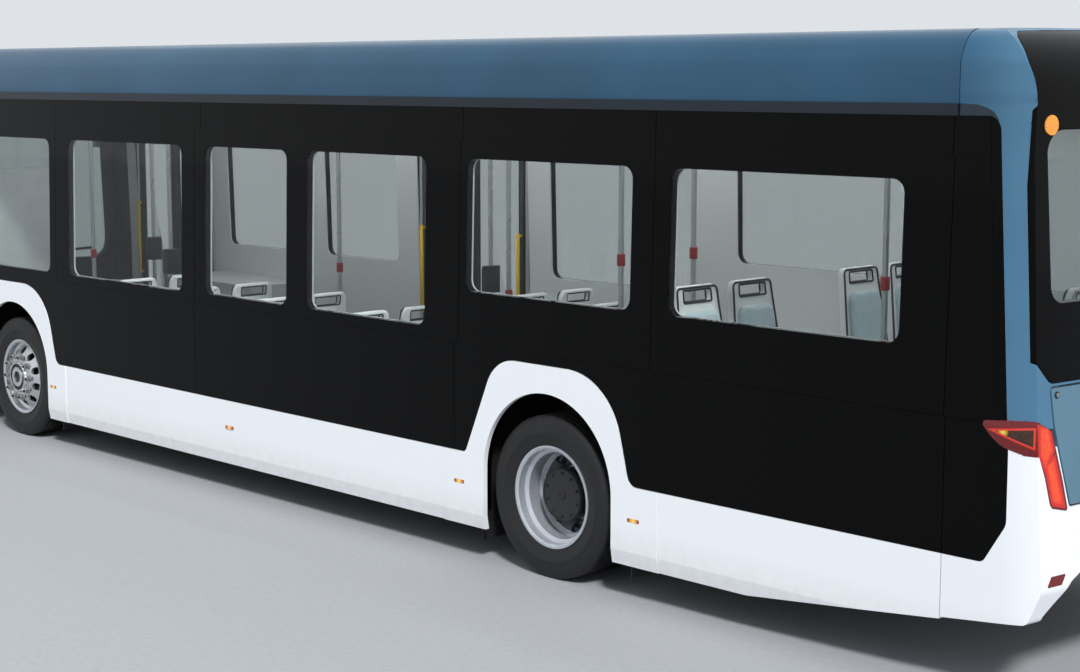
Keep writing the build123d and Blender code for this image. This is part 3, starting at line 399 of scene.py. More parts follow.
def cornerPaintedLightAndShadow():
    # A lighter teal on the rear corners as painted light, fading forward into the fairing's teal, with the ledges' dark
    # band of painted shadow carried on round the black panel's corner
    material = bluePaint("rearCornerTealPaintedLightAndShadow", "4d7a98", "456f8b")
    add, shader, teal, coords = openedUp(material)
    # painted light: behind x -5.78 the teal is the lighter corner tone, fading forward to the fairing's teal by x -5.50
    ahead = add("MapRange", add("SeparateXYZ", coords, out="X"), -5.78, -5.50)
    # painted shadow: inside the ledge's end outline, the ledges' dark band carries on round the corner
    ledgeShadowBand = add("MapRange", depthInside(add, coords, ledgeShadowEnd), 0.0, 0.0005)
    wire(shader, Base_Color=add("Mix RGBA", ledgeShadowBand, add("Mix RGBA", ahead, teal, "2c5a78"), "1f2c36"))
    return material


def whitePaint():
    # White two-pack enamel: painted shade, broken into patches, greys the hem at the bottom of the bus
    material, add, shader, coords = sprayedPaint("whiteBodyEnamel", "f1f3f6", "eceef2", 500, 0.0012, 0.38)
    # painted shade: patches of noise grey the white from z 0.22 up, gone by z 0.44
    hemShadePatches = add("TexNoise", coords, mm=60, Detail=6.0)
    low = add("MapRange", add("SeparateXYZ", coords, out="Z"), 0.22, 0.44, 0.45, 0.0)
    wire(shader, Base_Color=add("Mix RGBA", add("Math MULTIPLY", low, hemShadePatches), "f1f3f6", "a8a6a1"))
    return material


def blackPaint(name, lined):
    # Black lacquer over glazed panels, deep enough to read as glass
    material, add, shader, coords = sprayedPaint(
        name, "040404", "060505", 480, 0.0012, 0.06, 0.0, Specular_IOR_Level=0.09)
    if lined:  # the cabin side of the same wall carries a pale laminate, which shows through the windows
        out = add("Math ABSOLUTE", add("SeparateXYZ", coords, out="Y"))
        height = add("SeparateXYZ", coords, out="Z")
        within = add("MapRange", add("Math MULTIPLY_ADD", height, 0.028, out), 1.2585, 1.2595, 1.0, 0.0)
        clearOfArch = add("Math MAXIMUM", add("MapRange", beyondAxle(add, coords), 0.60, 0.61),
                          add("MapRange", height, 1.11, 1.12))
        cabin = add("Math MULTIPLY", add("Math MULTIPLY", within, clearOfArch), add("MapRange", height, 0.37, 0.38))
        wire(shader, Base_Color=add("Mix RGBA", cabin, "040404", "cdd0d2"),
             Roughness=add("MapRange", cabin, 0.0, 1.0, 0.06, 0.6),
             Specular_IOR_Level=add("MapRange", cabin, 0.0, 1.0, 0.09, 0.5))
    return material


def paneGlass(name, tint, square=0.035):
    # Float glass, tinted in the melt: clear to look through, with a film of reflection that grows at a slant
    material = bpy.data.materials.new(name)
    material.use_nodes = True
    material.node_tree.nodes.clear()
    add = partial(addNode, material.node_tree)
    ripple = add("TexNoise", add("TexCoord", out="Object"), mm=350, Detail=1.0)
    bump = add("Bump", Height=ripple, Strength=1.0, Distance=0.0012)
    slant = add("Math POWER", add("LayerWeight", Blend=0.5, Normal=bump, out="Facing"), 5.0)
    share = add("Math MULTIPLY_ADD", slant, 1 - square, square)
    both = add("MixShader", share, add("BsdfTransparent", Color=tint), add("BsdfGlossy", Roughness=0.015, Normal=bump))
    add("OutputMaterial", Surface=both)
    return material


def tyreRubber():
    # Vulcanised tread rubber: matt black, browned by road dust where it rolls, with a fine moulded grain
    material, add, shader, coords = newMaterial("vulcanisedRubber", "0e0e10", 0.62)
    dust = add("MapRange", add("TexNoise", coords, mm=70, Detail=8.0), 0.48, 0.78, 0.0, 0.5)
    grain = add("TexNoise", coords, mm=3, Detail=2.0)
    wire(shader, Base_Color=add("Mix RGBA", dust, "0d0d0f", "201e1d"),
         Normal=add("Bump", Height=grain, Strength=0.4, Distance=0.0004))
    return material


def metalFinish(name, base, worn, roughness, metallic, patchMm=45, grainMm=4, grainDepth=0.0002, amount=0.5):
    # Painted, cast or forged metal: tone and polish vary in patches, over the grain of its making
    material, add, shader, coords = newMaterial(name, base, roughness, Metallic=metallic)
    patch = add("TexNoise", coords, mm=patchMm, Detail=6.0)
    grain = add("TexNoise", coords, mm=grainMm, Detail=3.0)
    wire(shader, Base_Color=add("Mix RGBA", add("MapRange", patch, 0.42, 0.72, 0.0, amount), base, worn),
         Roughness=add("MapRange", patch, 0.3, 0.7, roughness - 0.05, roughness + 0.12),
         Normal=add("Bump", Height=grain, Strength=0.5, Distance=grainDepth))
    return material


def rearWheelPaint():
    # Silver paint on the rims, with painted shade darkening the recessed disc, and the hub's charcoal cover at their
    # middle
    material = metalFinish("silverWheelPaint", "c4c8cf", "9a9da2", 0.34, 0.75, amount=0.35)
    add, shader, silverTone, coords = openedUp(material)
    axle = middleOf("rear_left_tyres")
    away = add("VectorMath DISTANCE", add("VectorMath MULTIPLY", coords, (1, 0, 1)), (axle.x, 0, axle.z))
    # painted shade: within 0.232 m of the axle the silver turns grey
    disc = add("MapRange", away, 0.232, 0.236, 1.0, 0.0)
    cover = add("MapRange", away, 0.1590, 0.1595, 1.0, 0.0)
    wire(shader, Base_Color=add("Mix RGBA", cover, add("Mix RGBA", disc, silverTone, "5c6066"), "1d1c1f"),
         Metallic=add("MapRange", cover, 0.0, 1.0, 0.6, 0.0))
    return material


def mouldedPlastic(name, base, worn, roughness, grainMm=2.5, grainDepth=0.00025):
    # Injection-moulded plastic: spark-eroded grain, with hands and feet having polished and greyed it a little
    material, add, shader, coords = newMaterial(name, base, roughness)
    wear = add("TexNoise", coords, mm=160, Detail=5.0)
    wire(shader, Base_Color=add("Mix RGBA", add("MapRange", wear, 0.4, 0.75, 0.0, 0.7), base, worn),
         Roughness=add("MapRange", wear, 0.35, 0.7, roughness, roughness * 0.75),
         Normal=add("Bump", Height=add("TexVoronoi", coords, mm=grainMm), Strength=0.5, Distance=grainDepth))
    return material


def wovenCloth(name, base, thread, pitchMm):
    # Plain-woven wool moquette: warp over weft at the thread's pitch, with a soft sheen from its nap
    material, add, shader, coords = newMaterial(name, base, 0.85, Sheen_Weight=0.35, Sheen_Roughness=0.5)
    warp, weft = (add("TexWave " + axis, coords, mm=pitchMm, out="Fac") for axis in "YZ")
    crossed = add("Math MULTIPLY", warp, weft)
    fade = add("MapRange", add("TexNoise", coords, mm=90, Detail=5.0), 0.35, 0.7, 0.0, 0.5)
    wire(shader, Base_Color=add("Mix RGBA", add("Math MULTIPLY_ADD", crossed, 0.5, fade), base, thread),
         Normal=add("Bump", Height=crossed, Strength=0.6, Distance=0.0005))
    return material


def floorVinyl(name, top):
    # Safety vinyl sheet flecked with quartz grit that keeps wet shoes from slipping; black underseal below it
    material, add, shader, coords = newMaterial(name, "55585b", 0.55)
    dots = add("MapRange", add("TexVoronoi", coords, mm=9), 0.16, 0.22, 1.0, 0.0)
    upper = add("MapRange", add("SeparateXYZ", coords, out="Z"), top - 0.006, top - 0.004)
    wire(shader, Base_Color=add("Mix RGBA", upper, "151516", add("Mix RGBA", dots, "62666a", "b0b2b2")),
         Normal=add("Bump", Height=dots, Strength=0.3, Distance=0.0003))
    return material


def boxLiner():
    # The wheel boxes: black stone-chip underseal towards the wheel, pale moulded laminate in the cabin
    material, add, shader, coords = newMaterial("wheelBoxLiner", "151516", 0.7)
    out = add("Math ABSOLUTE", add("SeparateXYZ", coords, out="Y"))
    above = add("MapRange", add("SeparateXYZ", coords, out="Z"), 1.110, 1.112)
    beside = add("MapRange", beyondAxle(add, coords), 0.630, 0.632)
    cabin = add("Math MAXIMUM", add("Math MAXIMUM", add("MapRange", out, 0.600, 0.602, 1.0, 0.0), above), beside)
    chips = add("TexNoise", coords, mm=8, Detail=3.0)
    wire(shader, Base_Color=add("Mix RGBA", cabin, "121213", "b7bbbd"),
         Normal=add("Bump", Height=chips, Strength=0.6, Distance=0.0015))
    return material


lampShapes = {  # corners and middles in body places, on the side or on the face across the bus
    "window": [(-5.775, 0, 1.280), (-5.958, 0, 1.303), (-5.958, 0, 1.225)],
    "upperLeg": [(0, 1.142, 1.338), (0, 1.113, 1.195), (0, 1.196, 1.080), (0, 1.247, 1.182), (0, 1.247, 1.338)],
    "lowerLeg": [(0, 1.113, 1.195), (0, 1.041, 0.912), (0, 1.152, 0.938), (0, 1.167, 0.956), (0, 1.215, 1.150)],
    "bulb": (-5.812, 1.262, 1.279),
    "headlamp": [(0, 0.700, 0.640), (0, 1.090, 0.700), (0, 1.290, 0.760), (0, 1.290, 0.880), (0, 1.060, 0.850),
                 (0, 0.700, 0.760)],
    "lenses": [(0, 0.795, 0.704), (0, 0.925, 0.742), (0, 1.055, 0.776)],
}


def headLens():
    # Clear polycarbonate over a black housing: three bright round lenses in a row under a white light guide
    material, add, shader, coords = newMaterial(
        "headlampPolycarbonate", "101114", 0.06, Coat_Weight=0.8, Coat_Roughness=0.02)
    flat = add("VectorMath MULTIPLY", add("VectorMath ABSOLUTE", coords), (0, 1, 1))
    tone = "101114"
    for place in lampShapes["lenses"]:
        away = add("VectorMath DISTANCE", flat, place)
        lens = add("MapRange", away, 0.034, 0.0355, 1.0, 0.0)
        rings = add("MapRange", add("Math SINE", add("Math MULTIPLY", away, 900.0)), -1.0, 1.0)
        bezel = add("MapRange", away, 0.040, 0.0415, 1.0, 0.0)
        tone = add("Mix RGBA", lens, add("Mix RGBA", bezel, tone, "3a3d41"), add("Mix RGBA", rings, "8f979e", "d9dfe4"))
    depth = depthInside(add, flat, lampShapes["headlamp"])
    guide = add("Math MULTIPLY", add("MapRange", depth, 0.006, 0.007), add("MapRange", depth, 0.013, 0.014, 1.0, 0.0))
    wire(shader, Base_Color=add("Mix RGBA", guide, tone, "f2f5f7"))
    return material


def tailLens():
    # One two-shot moulding: a deep red rim, an orange-red ring and an amber window behind the side's clear part
    material, add, shader, coords = newMaterial(
        "tailLampAcrylic", "8c0a0c", 0.12, Coat_Weight=0.3, Coat_Roughness=0.02, Emission_Strength=0.05)
    place = add("VectorMath MULTIPLY", add("VectorMath ABSOLUTE", coords), (-1, 1, 1))
    facets = add("TexVoronoi CHEBYCHEV", coords, mm=9)
    grain = add("MapRange", facets, 0.1, 0.7)
    window = depthInside(add, place, lampShapes["window"])
    glass = add("MapRange", window, -0.001, 0.0)
    leg = add("Math MAXIMUM", depthInside(add, place, lampShapes["upperLeg"]),
              depthInside(add, place, lampShapes["lowerLeg"]))
    glow = add("MapRange", add("VectorMath DISTANCE", place, lampShapes["bulb"]), 0.006, 0.030, 1.0, 0.0)
    tone = add("Mix RGBA", grain, "7d0509", "560306")
    tone = add("Mix RGBA", add("MapRange", window, -0.0105, -0.0095), tone, "d8321f")
    tone = add("Mix RGBA", glass, tone, add("Mix RGBA", grain, "4a230a", "1d0d06"))
    hot = add("Mix RGBA", add("MapRange", leg, 0.020, 0.040), "c81b12", add("Mix RGBA", grain, "ff5a26", "e3320f"))
    tone = add("Mix RGBA", add("MapRange", leg, 0.009, 0.011), tone, hot)
    tone = add("Mix RGBA", add("Math MULTIPLY", glass, glow), tone, "ffd84a")
    wire(shader, Base_Color=tone, Emission_Color=tone,
         Normal=add("Bump", Height=facets, Strength=0.25, Distance=0.0006))
    return material


def markerAcrylic():
    # Ribbed amber acrylic: a painted highlight turns a side marker's middle yellow, and its ends are painted a darker,
    # browner amber
    material, add, shader, coords = newMaterial(
        "markerAcrylic", "f0a02a", 0.12, Coat_Weight=0.6, Coat_Roughness=0.03, Emission_Strength=0.10)
    ribs = add("TexWave Z", coords, mm=4, out="Fac")
    tone = add("Mix RGBA", add("Math MULTIPLY", ribs, add("TexVoronoi", coords, mm=8)), "f0a02a", "b9540c")
    away = None
    for low, high, _ in partBoxes("amber_lamps"):
        if high.z < 1:
            reach = add("VectorMath DISTANCE", coords, (low + high) / 2)
            away = add("Math MINIMUM", away, reach) if away else reach
    # the ends darker and browner, and the middle a painted highlight in yellow, which glows a little like the rest of
    # the lens
    ends = add("Math MULTIPLY", add("MapRange", away, 0.026, 0.034), add("MapRange", away, 0.10, 0.11, 1.0, 0.0))
    tone = add("Mix RGBA", ends, tone, "8a3d0c")
    tone = add("Mix RGBA", add("MapRange", away, 0.006, 0.020, 1.0, 0.0), tone, "ffe27a")
    wire(shader, Base_Color=tone, Emission_Color=tone, Normal=add("Bump", Height=ribs, Strength=0.3, Distance=0.0005))
    return material


def doorCoat():
    # Black powder coat on the door's frame; the bar inside is powder-coated yellow for grip and sight
    material, add, shader, coords = newMaterial("blackDoorPowderCoat", "0c0c0e", 0.3)
    bar = add("MapRange", add("SeparateXYZ", coords, out="Y"), -1.1965, -1.1960, 0.0, 1.0)
    grain = add("TexNoise", coords, mm=5, Detail=2.0)
    wire(shader, Base_Color=add("Mix RGBA", bar, "0c0c0e", "f0c419"),
         Normal=add("Bump", Height=grain, Strength=0.3, Distance=0.0002))
    return material


blue = bluePaint()
white = whitePaint()
black = blackPaint("glossBlackWall", True)
blackPanel = blackPaint("glossBlackPanel", False)
# painted light on the rear corners, with the ledges' painted shadow band round them
cornerBluePaintedLightAndShadow = cornerPaintedLightAndShadow()
# painted light: the hatch's teal is paler, for the strong light on the rear face
hatchBluePaintedLight = bluePaint("hatchTealPaintedLight", "5d8196", "557a8d")
# painted shade: the ledges under the roof's overhang are lacquered near-black slate for the shade they lie in
ledgePaintedShade = sprayedPaint("ledgePaintedShadeLacquer", "17222c", "131c24", 500, 0.001, 0.3, 0.1, Specular_IOR_Level=0.3)[0]
sideGlass = paneGlass("tintedSideGlass", "ebedec", 0.02)
screenGlass = paneGlass("laminatedScreenGlass", "d8dcdb")
rubber = tyreRubber()
silver = rearWheelPaint()
alloy = metalFinish("forgedAlloy", "d3d5d8", "b3b4b6", 0.26, 1.0, patchMm=80, amount=0.3)
darkIron = metalFinish("oiledHubCasting", "232427", "3b3632", 0.5, 0.35, grainDepth=0.0006)
frameSteel = metalFinish("chassisBlackPaint", "1b1c1e", "2e2b28", 0.6, 0.1, patchMm=120, grainDepth=0.0004)
motorCasting = metalFinish("sandCastAluminium", "7d8083", "5c5d5e", 0.55, 0.8, grainDepth=0.0007)
zinc = metalFinish("zincPlatedSteel", "b9bbb8", "8d8c86", 0.36, 1.0, patchMm=20)
satinSteel = metalFinish("satinStainless", "c4c6c8", "a5a7a9", 0.28, 1.0, patchMm=200, grainMm=1.5, amount=0.3)
mirrorGlass = metalFinish("silveredMirror", "e8ecef", "dfe3e6", 0.03, 1.0, 300, 300, 0.00001, 0.1)
coverPaint = metalFinish("greyEquipmentPaint", "b4b8ba", "8f9291", 0.5, 0.1, patchMm=220)
# painted shadow: a near-black matt disc under each fan's blades stands in for the shade inside the unit
shadowPaint = metalFinish("fanWellPaintedShadow", "0c0c0d", "131314", 0.8, 0.0)
roofShell = mouldedPlastic("paleRoofLaminate", "c6c9ca", "a9abaa", 0.5, 6, 0.0004)
bellows = mouldedPlastic("bellowsRubber", "17171a", "242425", 0.7)
seatShell = mouldedPlastic("lightGreySeatPolyamide", "eef0f1", "dfe2e4", 0.42)
seatCloth = wovenCloth("paleBlueMoquette", "c3d6dc", "a9c0c8", 3)
driverCloth = wovenCloth("charcoalWoven", "2c2e33", "1d1f22", 3)
darkTrim = mouldedPlastic("blackTextureTrim", "141517", "1f2022", 0.5)
dashPlastic = mouldedPlastic("charcoalDashMoulding", "2b2d30", "383a3c", 0.55)
partitionPanel = mouldedPlastic("greyPartitionLaminate", "c3c8cb", "b4b8ba", 0.4)
lowVinyl = floorVinyl("fleckedSafetyVinyl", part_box("low_floor")[1].z)
deckVinyl = floorVinyl("fleckedDeckVinyl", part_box("rear_deck")[1].z)
boxLining = boxLiner()
tailLamp = tailLens()
headLamp = headLens()
markerLens = markerAcrylic()
doorFinish = doorCoat()
sealRubber = mouldedPlastic("sealRubber", "0e0e0f", "19191a", 0.65, 4)
yellowGrip = mouldedPlastic("yellowPowderCoat", "f0c419", "e0b414", 0.35)
plateYellow = mouldedPlastic("blankPlateAcrylic", "e9b822", "dcab1c", 0.3)
redBell = mouldedPlastic("redBellPlastic", "9c1f1c", "7d1512", 0.4)
lightPanel = newMaterial("opalLightPanel", "f6f8fa", 0.4, Emission_Color=(1, 1, 1, 1), Emission_Strength=12.0)[0]
print("materials:", len(bpy.data.materials))

nodeFinish = {
    blue: ["roof_coves", "front_dome"],
    cornerBluePaintedLightAndShadow: ["rear_shell"],
    hatchBluePaintedLight: ["rear_hatch"],
    white: ["skirt_panels", "wheel_surrounds", "rear_bumper", "front_bumper"],
    black: ["left_wall", "right_wall"],
    blackPanel: ["rear_panel", "front_mask", "door_headers", "displays"],
    ledgePaintedShade: ["cantrail_ledges"],
    sideGlass: ["side_glass"],
    screenGlass: ["windscreen", "rear_window"],
    silver: ["rear_left_rims", "rear_right_rims"],
    alloy: ["front_left_rim", "front_right_rim"],
    frameSteel: ["chassis_frame", "front_axle_beam", "rear_axle", "knuckle_left", "knuckle_right", "tie_rod"],
    motorCasting: ["drive_motor"],
    bellows: ["air_springs", "mud_flaps"],
    lowVinyl: ["low_floor"],
    deckVinyl: ["rear_deck"],
    boxLining: ["wheel_boxes"],
    partitionPanel: ["driver_partition"],
    roofShell: ["roof_deck"],
    coverPaint: ["roof_units"],
    tailLamp: ["tail_lamps"],
    markerLens: ["amber_lamps"],
    headLamp: ["headlamps"],
    satinSteel: ["grab_poles"] + [node for node in nodes if node.endswith("_post")],
    dashPlastic: ["dashboard", "steering_wheel"],
    driverCloth: ["driver_seat"],
    seatShell: ["passenger_seats"],
    darkTrim: ["mirrors", "wipers"],
}
for material, names in nodeFinish.items():
    for node in names:
        smooth(coloured(nodes[node], material), 30)
print("nodes finished")

# Tyres

tyreSizes = {
    "sides": 240,
    "sidewall": [  # half width and radius, from the bead out
        (0.095, 0.2862), (0.104, 0.2895), (0.110, 0.300), (0.122, 0.328), (0.131, 0.354), (0.1352, 0.370),
        (0.1370, 0.373), (0.1378, 0.390), (0.1360, 0.394), (0.1362, 0.412), (0.1340, 0.430), (0.1300, 0.446),
        (0.1262, 0.456), (0.1200, 0.466), (0.1130, 0.4728), (0.1050, 0.4764),
    ],
    "halfWidth": 0.1378,
    "grooves": [0.074, 0.026, -0.026, -0.074],
    "grooveHalf": 0.0055,
    "grooveDepth": 0.012,
    "crown": 0.478,
    "sipeEvery": 3,
    "sipeRim": 0.0048,
    "sipeDepth": 0.006,
}
sideSign = {"left": 1, "right": -1}


def makeTyre():
    sizes = tyreSizes
    stations = list(sizes["sidewall"])
    for middle in sizes["grooves"]:
        for across, down in ((1, 0), (0.7, 1), (-0.7, 1), (-1, 0)):
            stations.append((middle + across * sizes["grooveHalf"],
                             sizes["crown"] - 0.0006 - down * sizes["grooveDepth"]))
    stations += [(-y, radius) for y, radius in reversed(sizes["sidewall"])]
    tyre = turnRing("tyre", stations, sizes["sides"])
    step = tau / sizes["sides"]

    def inSipe(face):
        fromAxle = Vector((face.center.x, face.center.z))
        bearing = fromAxle.angle_signed(Vector((1, 0)))
        turn = int(((bearing + tau) % tau) / step)
        rib = 1 if 0.080 < abs(face.center.y) < 0.105 else 2 if 0.032 < abs(face.center.y) < 0.068 else 0
        return fromAxle.length > 0.474 and turn % sizes["sipeEvery"] == rib

    pick(tyre, "FACE", inSipe)
    bpy.ops.mesh.inset(thickness=sizes["sipeRim"], use_individual=True)
    bpy.ops.mesh.extrude_region_shrink_fatten(TRANSFORM_OT_shrink_fatten={"value": -sizes["sipeDepth"]})
    leaveEdit()
    return coloured(smooth(tyre, 28), rubber)


def fitTyres():
    wheels, spots = [], []
    for end, ending in (("front", ""), ("rear", "s")):
        for side in sideSign:
            low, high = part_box(f"{end}_{side}_tyre{ending}")
            middle = (low + high) / 2
            across = [middle.y] if end == "front" else [
                low.y + tyreSizes["halfWidth"], high.y - tyreSizes["halfWidth"]]
            spots += [moved(middle.x, y, middle.z) for y in across]
            wheels.append((f"{end}_{side}", ending, len(across)))
    made = copied(makeTyre(), [spot @ turned(0.7 * i, "Y") for i, spot in enumerate(spots)])
    for name, ending, count in wheels:
        own = [made.pop(0) for _ in range(count)]
        placed(name + "Tyre", own, "tyre_rubber", f"{name}_tyre{ending}", body=f"{name}_wheel{ending}")


fitTyres()
print("tyres")

# Wheel nuts, hubs and valve stems

nutSizes = {"count": 10, "circle": 0.1675, "radius": 0.0205, "height": 0.030, "washer": 0.0265, "stud": 0.0095}
hubSizes = {  # distances out along the axle, with radii
    "frontFace": 0.1345,
    "rearFace": 0.1445,
    "rearCover": 1.125,
    "nave": [(0.128, 0.150), (0.139, 0.148), (0.1405, 0.142), (0.1405, 0.126), (0.152, 0.122), (0.1575, 0.117),
             (0.1580, 0.106), (0.128, 0.104)],
    "cap": [(0.130, 0.105), (0.148, 0.104), (0.152, 0.099), (0.1535, 0.088), (0.1500, 0.060), (0.1490, 0.030),
            (0.1490, 0.002)],
    "coverRim": [(-0.004, 0.157), (0.003, 0.155), (0.003, 0.147), (-0.004, 0.145)],
    "valve": [(0.235, 0.085), (0.238, 0.1075), (0.246, 0.130)],
}


def makeNut():  # a flanged wheel nut on its stud, standing along +Y from the disc
    sizes = nutSizes
    washer = soften(startRound("washer", (0, 0.003, 0), sizes["washer"], 0.006, "Y", 20), 0.0012)
    nut = startRound("nut", (0, 0.005 + sizes["height"] / 2, 0), sizes["radius"], sizes["height"], "Y", 6)
    pick(nut, "FACE", lambda face: face.normal.y > 0.9)
    bpy.ops.mesh.inset(thickness=0.003)
    bpy.ops.transform.translate(value=(0, 0.002, 0))
    leaveEdit()
    soften(nut, 0.0011)
    stud = soften(startRound("stud", (0, 0.005 + sizes["height"] + 0.005, 0), sizes["stud"], 0.016, "Y", 12), 0.002)
    for piece, material in ((washer, zinc), (nut, zinc), (stud, darkIron)):
        smooth(coloured(piece, material), 30)
    return joined("wheelNut", [washer, nut, stud])


def nutCircle(centre, faceY, flip):
    turns = [tau * i / nutSizes["count"] for i in range(nutSizes["count"])]
    return [moved(centre.x + nutSizes["circle"] * cos(turn), faceY, centre.z + nutSizes["circle"] * sin(turn)) @ flip
            for turn in turns]


def frontHub():  # the ring over the nuts, the machined nave and the dark cap at its middle
    nave = smooth(coloured(turnRing("nave", hubSizes["nave"], 64), alloy), 30)
    cap = turnRing("cap", hubSizes["cap"], 48, closed=False)
    pick(cap, "EDGE", lambda start, end: all(
        point.y > 0.1485 and Vector((point.x, point.z)).length < 0.0025 for point in (start, end)))
    bpy.ops.mesh.edge_face_add()
    leaveEdit()
    return joined("frontHub", [nave, smooth(coloured(cap, darkIron), 30)])


def rearHub():  # the cap, the ring of small bolts and the raised rim on the drive hub's dark cover
    cap = soften(startRound("hubCap", (0, -0.001, 0), 0.030, 0.012, "Y", 32), 0.003)
    rim = turnRing("coverRim", hubSizes["coverRim"], 64)
    bolt = soften(startRound("bolt", (0, 0.003, 0.128), 0.0085, 0.010, "Y", 6), 0.001)
    bolts = copied(coloured(bolt, darkIron), [turned(tau * i / 10, "Y") for i in range(10)])
    return smooth(joined("rearHub", [coloured(cap, darkIron), coloured(rim, darkIron)] + bolts), 35)


def fitHubs():
    for side, sign in sideSign.items():
        flip = Matrix.Identity(4) if sign > 0 else turned(pi, "Z")
        centre = middleOf(f"front_{side}_tyre")
        hub = frontHub()
        hub.data.transform(moved(*centre) @ flip)
        stem = tube("valve", [(centre.x + x, centre.y + sign * y, centre.z) for x, y in hubSizes["valve"]], 0.0045)
        nuts = copied(makeNut(), nutCircle(centre, centre.y + sign * hubSizes["frontFace"], flip))
        placed(f"front{side.capitalize()}Hub", [hub, coloured(stem, darkTrim)] + nuts, "rim_silver",
               body=f"front_{side}_wheel")
        low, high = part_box(f"rear_{side}_tyres")
        outer = (low + high) / 2
        outer.y = (high.y if sign > 0 else low.y) - sign * tyreSizes["halfWidth"]
        hub = rearHub()
        hub.data.transform(moved(outer.x, sign * hubSizes["rearCover"], outer.z) @ flip)
        nuts = copied(makeNut(), nutCircle(outer, outer.y - sign * hubSizes["rearFace"], flip))
        placed(f"rear{side.capitalize()}Hub", [hub] + nuts, "rim_silver", body=f"rear_{side}_wheels")


fitHubs()
print("hubs and nuts")

# Roof edge: the fairings stand upright to their rounded shoulder, and the tail end of the roof follows them

roofShape = {
    "foot": 2.757,
    "section": [  # height and half width up the fairing, to the edge of the crown
        (2.800, 1.2300), (2.870, 1.2295), (2.940, 1.2290), (2.961, 1.2240), (2.975, 1.2190), (2.988, 1.2130),
        (3.006, 1.2050), (3.025, 1.1950), (3.040, 1.1850), (3.056, 1.1720), (3.068, 1.1610), (3.078, 1.1490),
        (3.086, 1.1360), (3.092, 1.1210), (3.0965, 1.1000),
    ],
    "innerEdge": (0.800, 3.1006),
    "wellFoot": 2.790,
    "thick": 0.020,
    "taper": 0.90,
    "tail": (-6.1, 0.56, 0.0699),  # where the rear face starts, at what height, and its lean
    "bow": 0.080 / 1.275 ** 2,
    "plainEnd": (0.580, 3.116),  # the radius and the top of the rounding at the tail
    "end": (0.350, 3.112),
    "roundFrom": 2.5361,
    "corner": (-5.767, 1.31, 0.800),  # where the rear corner starts to turn in, at what height, and its radius
    "lift": (2.94, 0.147, 0.0095),  # from this height, over so much, the tail's top rises by so much
    "easing": (-5.735, 0.235, 0.043),  # where the tail's change starts, and how far ahead above the foot, over what
    "cuts": (-5.53, 0.03, 15),  # the first, the step and the count
}
ahead, upwards = Vector((1, 0, 0)), Vector((0, 0, 1))


def footHalf():  # the body's half width where the fairings stand on it
    wall = nodeCopy("roof_coves")
    half = max(abs(v.co.y) for v in wall.data.vertices if v.co.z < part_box("roof_coves")[0].z + 0.001)
    bpy.data.objects.remove(wall)
    return half


def cutLevels(node):
    piece = nodeCopy(node)
    cutAcross(piece, upwards, [roofShape["foot"]] + [height for height, _ in roofShape["section"]])
    return piece


def sectionShares():  # how much wider the fairings' section is than the plain bevel, at each height
    piece = cutLevels("front_dome")
    shares = [(roofShape["foot"], 1.0)]
    for height, half in roofShape["section"]:
        wide = max(abs(v.co.y) for v in piece.data.vertices if abs(v.co.z - height) < 0.00005)
        shares.append((height, half / wide))
    bpy.data.objects.remove(piece)
    return shares


wallHalf = footHalf()
shares = sectionShares()
sections = {
    "filled": [(roofShape["foot"], wallHalf)] + roofShape["section"] + [(3.110, 0.0)],
    "plain": [(roofShape["foot"], wallHalf)] + [
        (height, dict(roofShape["section"])[height] / share) for height, share in shares[1:]] + [(3.110, 0.0)],
}


def between(table, value):  # a table of pairs read between its rows
    for (low, first), (high, second) in zip(table, table[1:]):
        if value < high:
            return first + (second - first) * max(0, value - low) / (high - low)
    return table[-1][1]


def halfWidth(z, form="filled"):  # of the body at a height: the wall's lean, then the section above it
    if z <= roofShape["foot"]:
        return wallHalf - 0.0265 * (z - roofShape["foot"])
    return between(sections[form], z)


def tailPlace(y, z, form="end"):  # where the rear face stands: leaning, bowed, and rounded over at the top
    x, height, lean = roofShape["tail"]
    radius, top = roofShape[form]
    over = min(radius - 0.001, max(0, z - top + radius))
    return x + lean * (z - height) + roofShape["bow"] * y * y + radius - (radius ** 2 - over ** 2) ** 0.5


def cornerTurn(x, z):  # how far past the start of the turned-in rear corner
    start, height, _ = roofShape["corner"]
    return max(0, start + roofShape["tail"][2] * (z - height) - x)


def filledOut(point):  # a point of the plain tail carried out to the fuller one
    x, y, z = point
    foot, roundFrom = roofShape["foot"], roofShape["roundFrom"]
    if z < roundFrom:
        return point
    liftFrom, liftOver, lift = roofShape["lift"]
    lifted = z + lift * held((z - liftFrom) / liftOver)
    newY = y / max(0.05, halfWidth(z, "plain")) * halfWidth(lifted)
    end, newEnd = tailPlace(y, z, "plainEnd"), tailPlace(newY, lifted)
    begin, further, over = roofShape["easing"]
    begin += further * held((z - foot) / over)
    newX = x + (newEnd - end) * held((begin - x) / max(0.01, begin - end)) ** 1.5
    most = halfWidth(lifted) - cornerTurn(newX, lifted) ** 2 / (2 * roofShape["corner"][2])
    newY += (max(-most, min(most, newY)) - newY) * held((z - roundFrom) / (foot - roundFrom))
    return Vector((newX, newY, lifted))


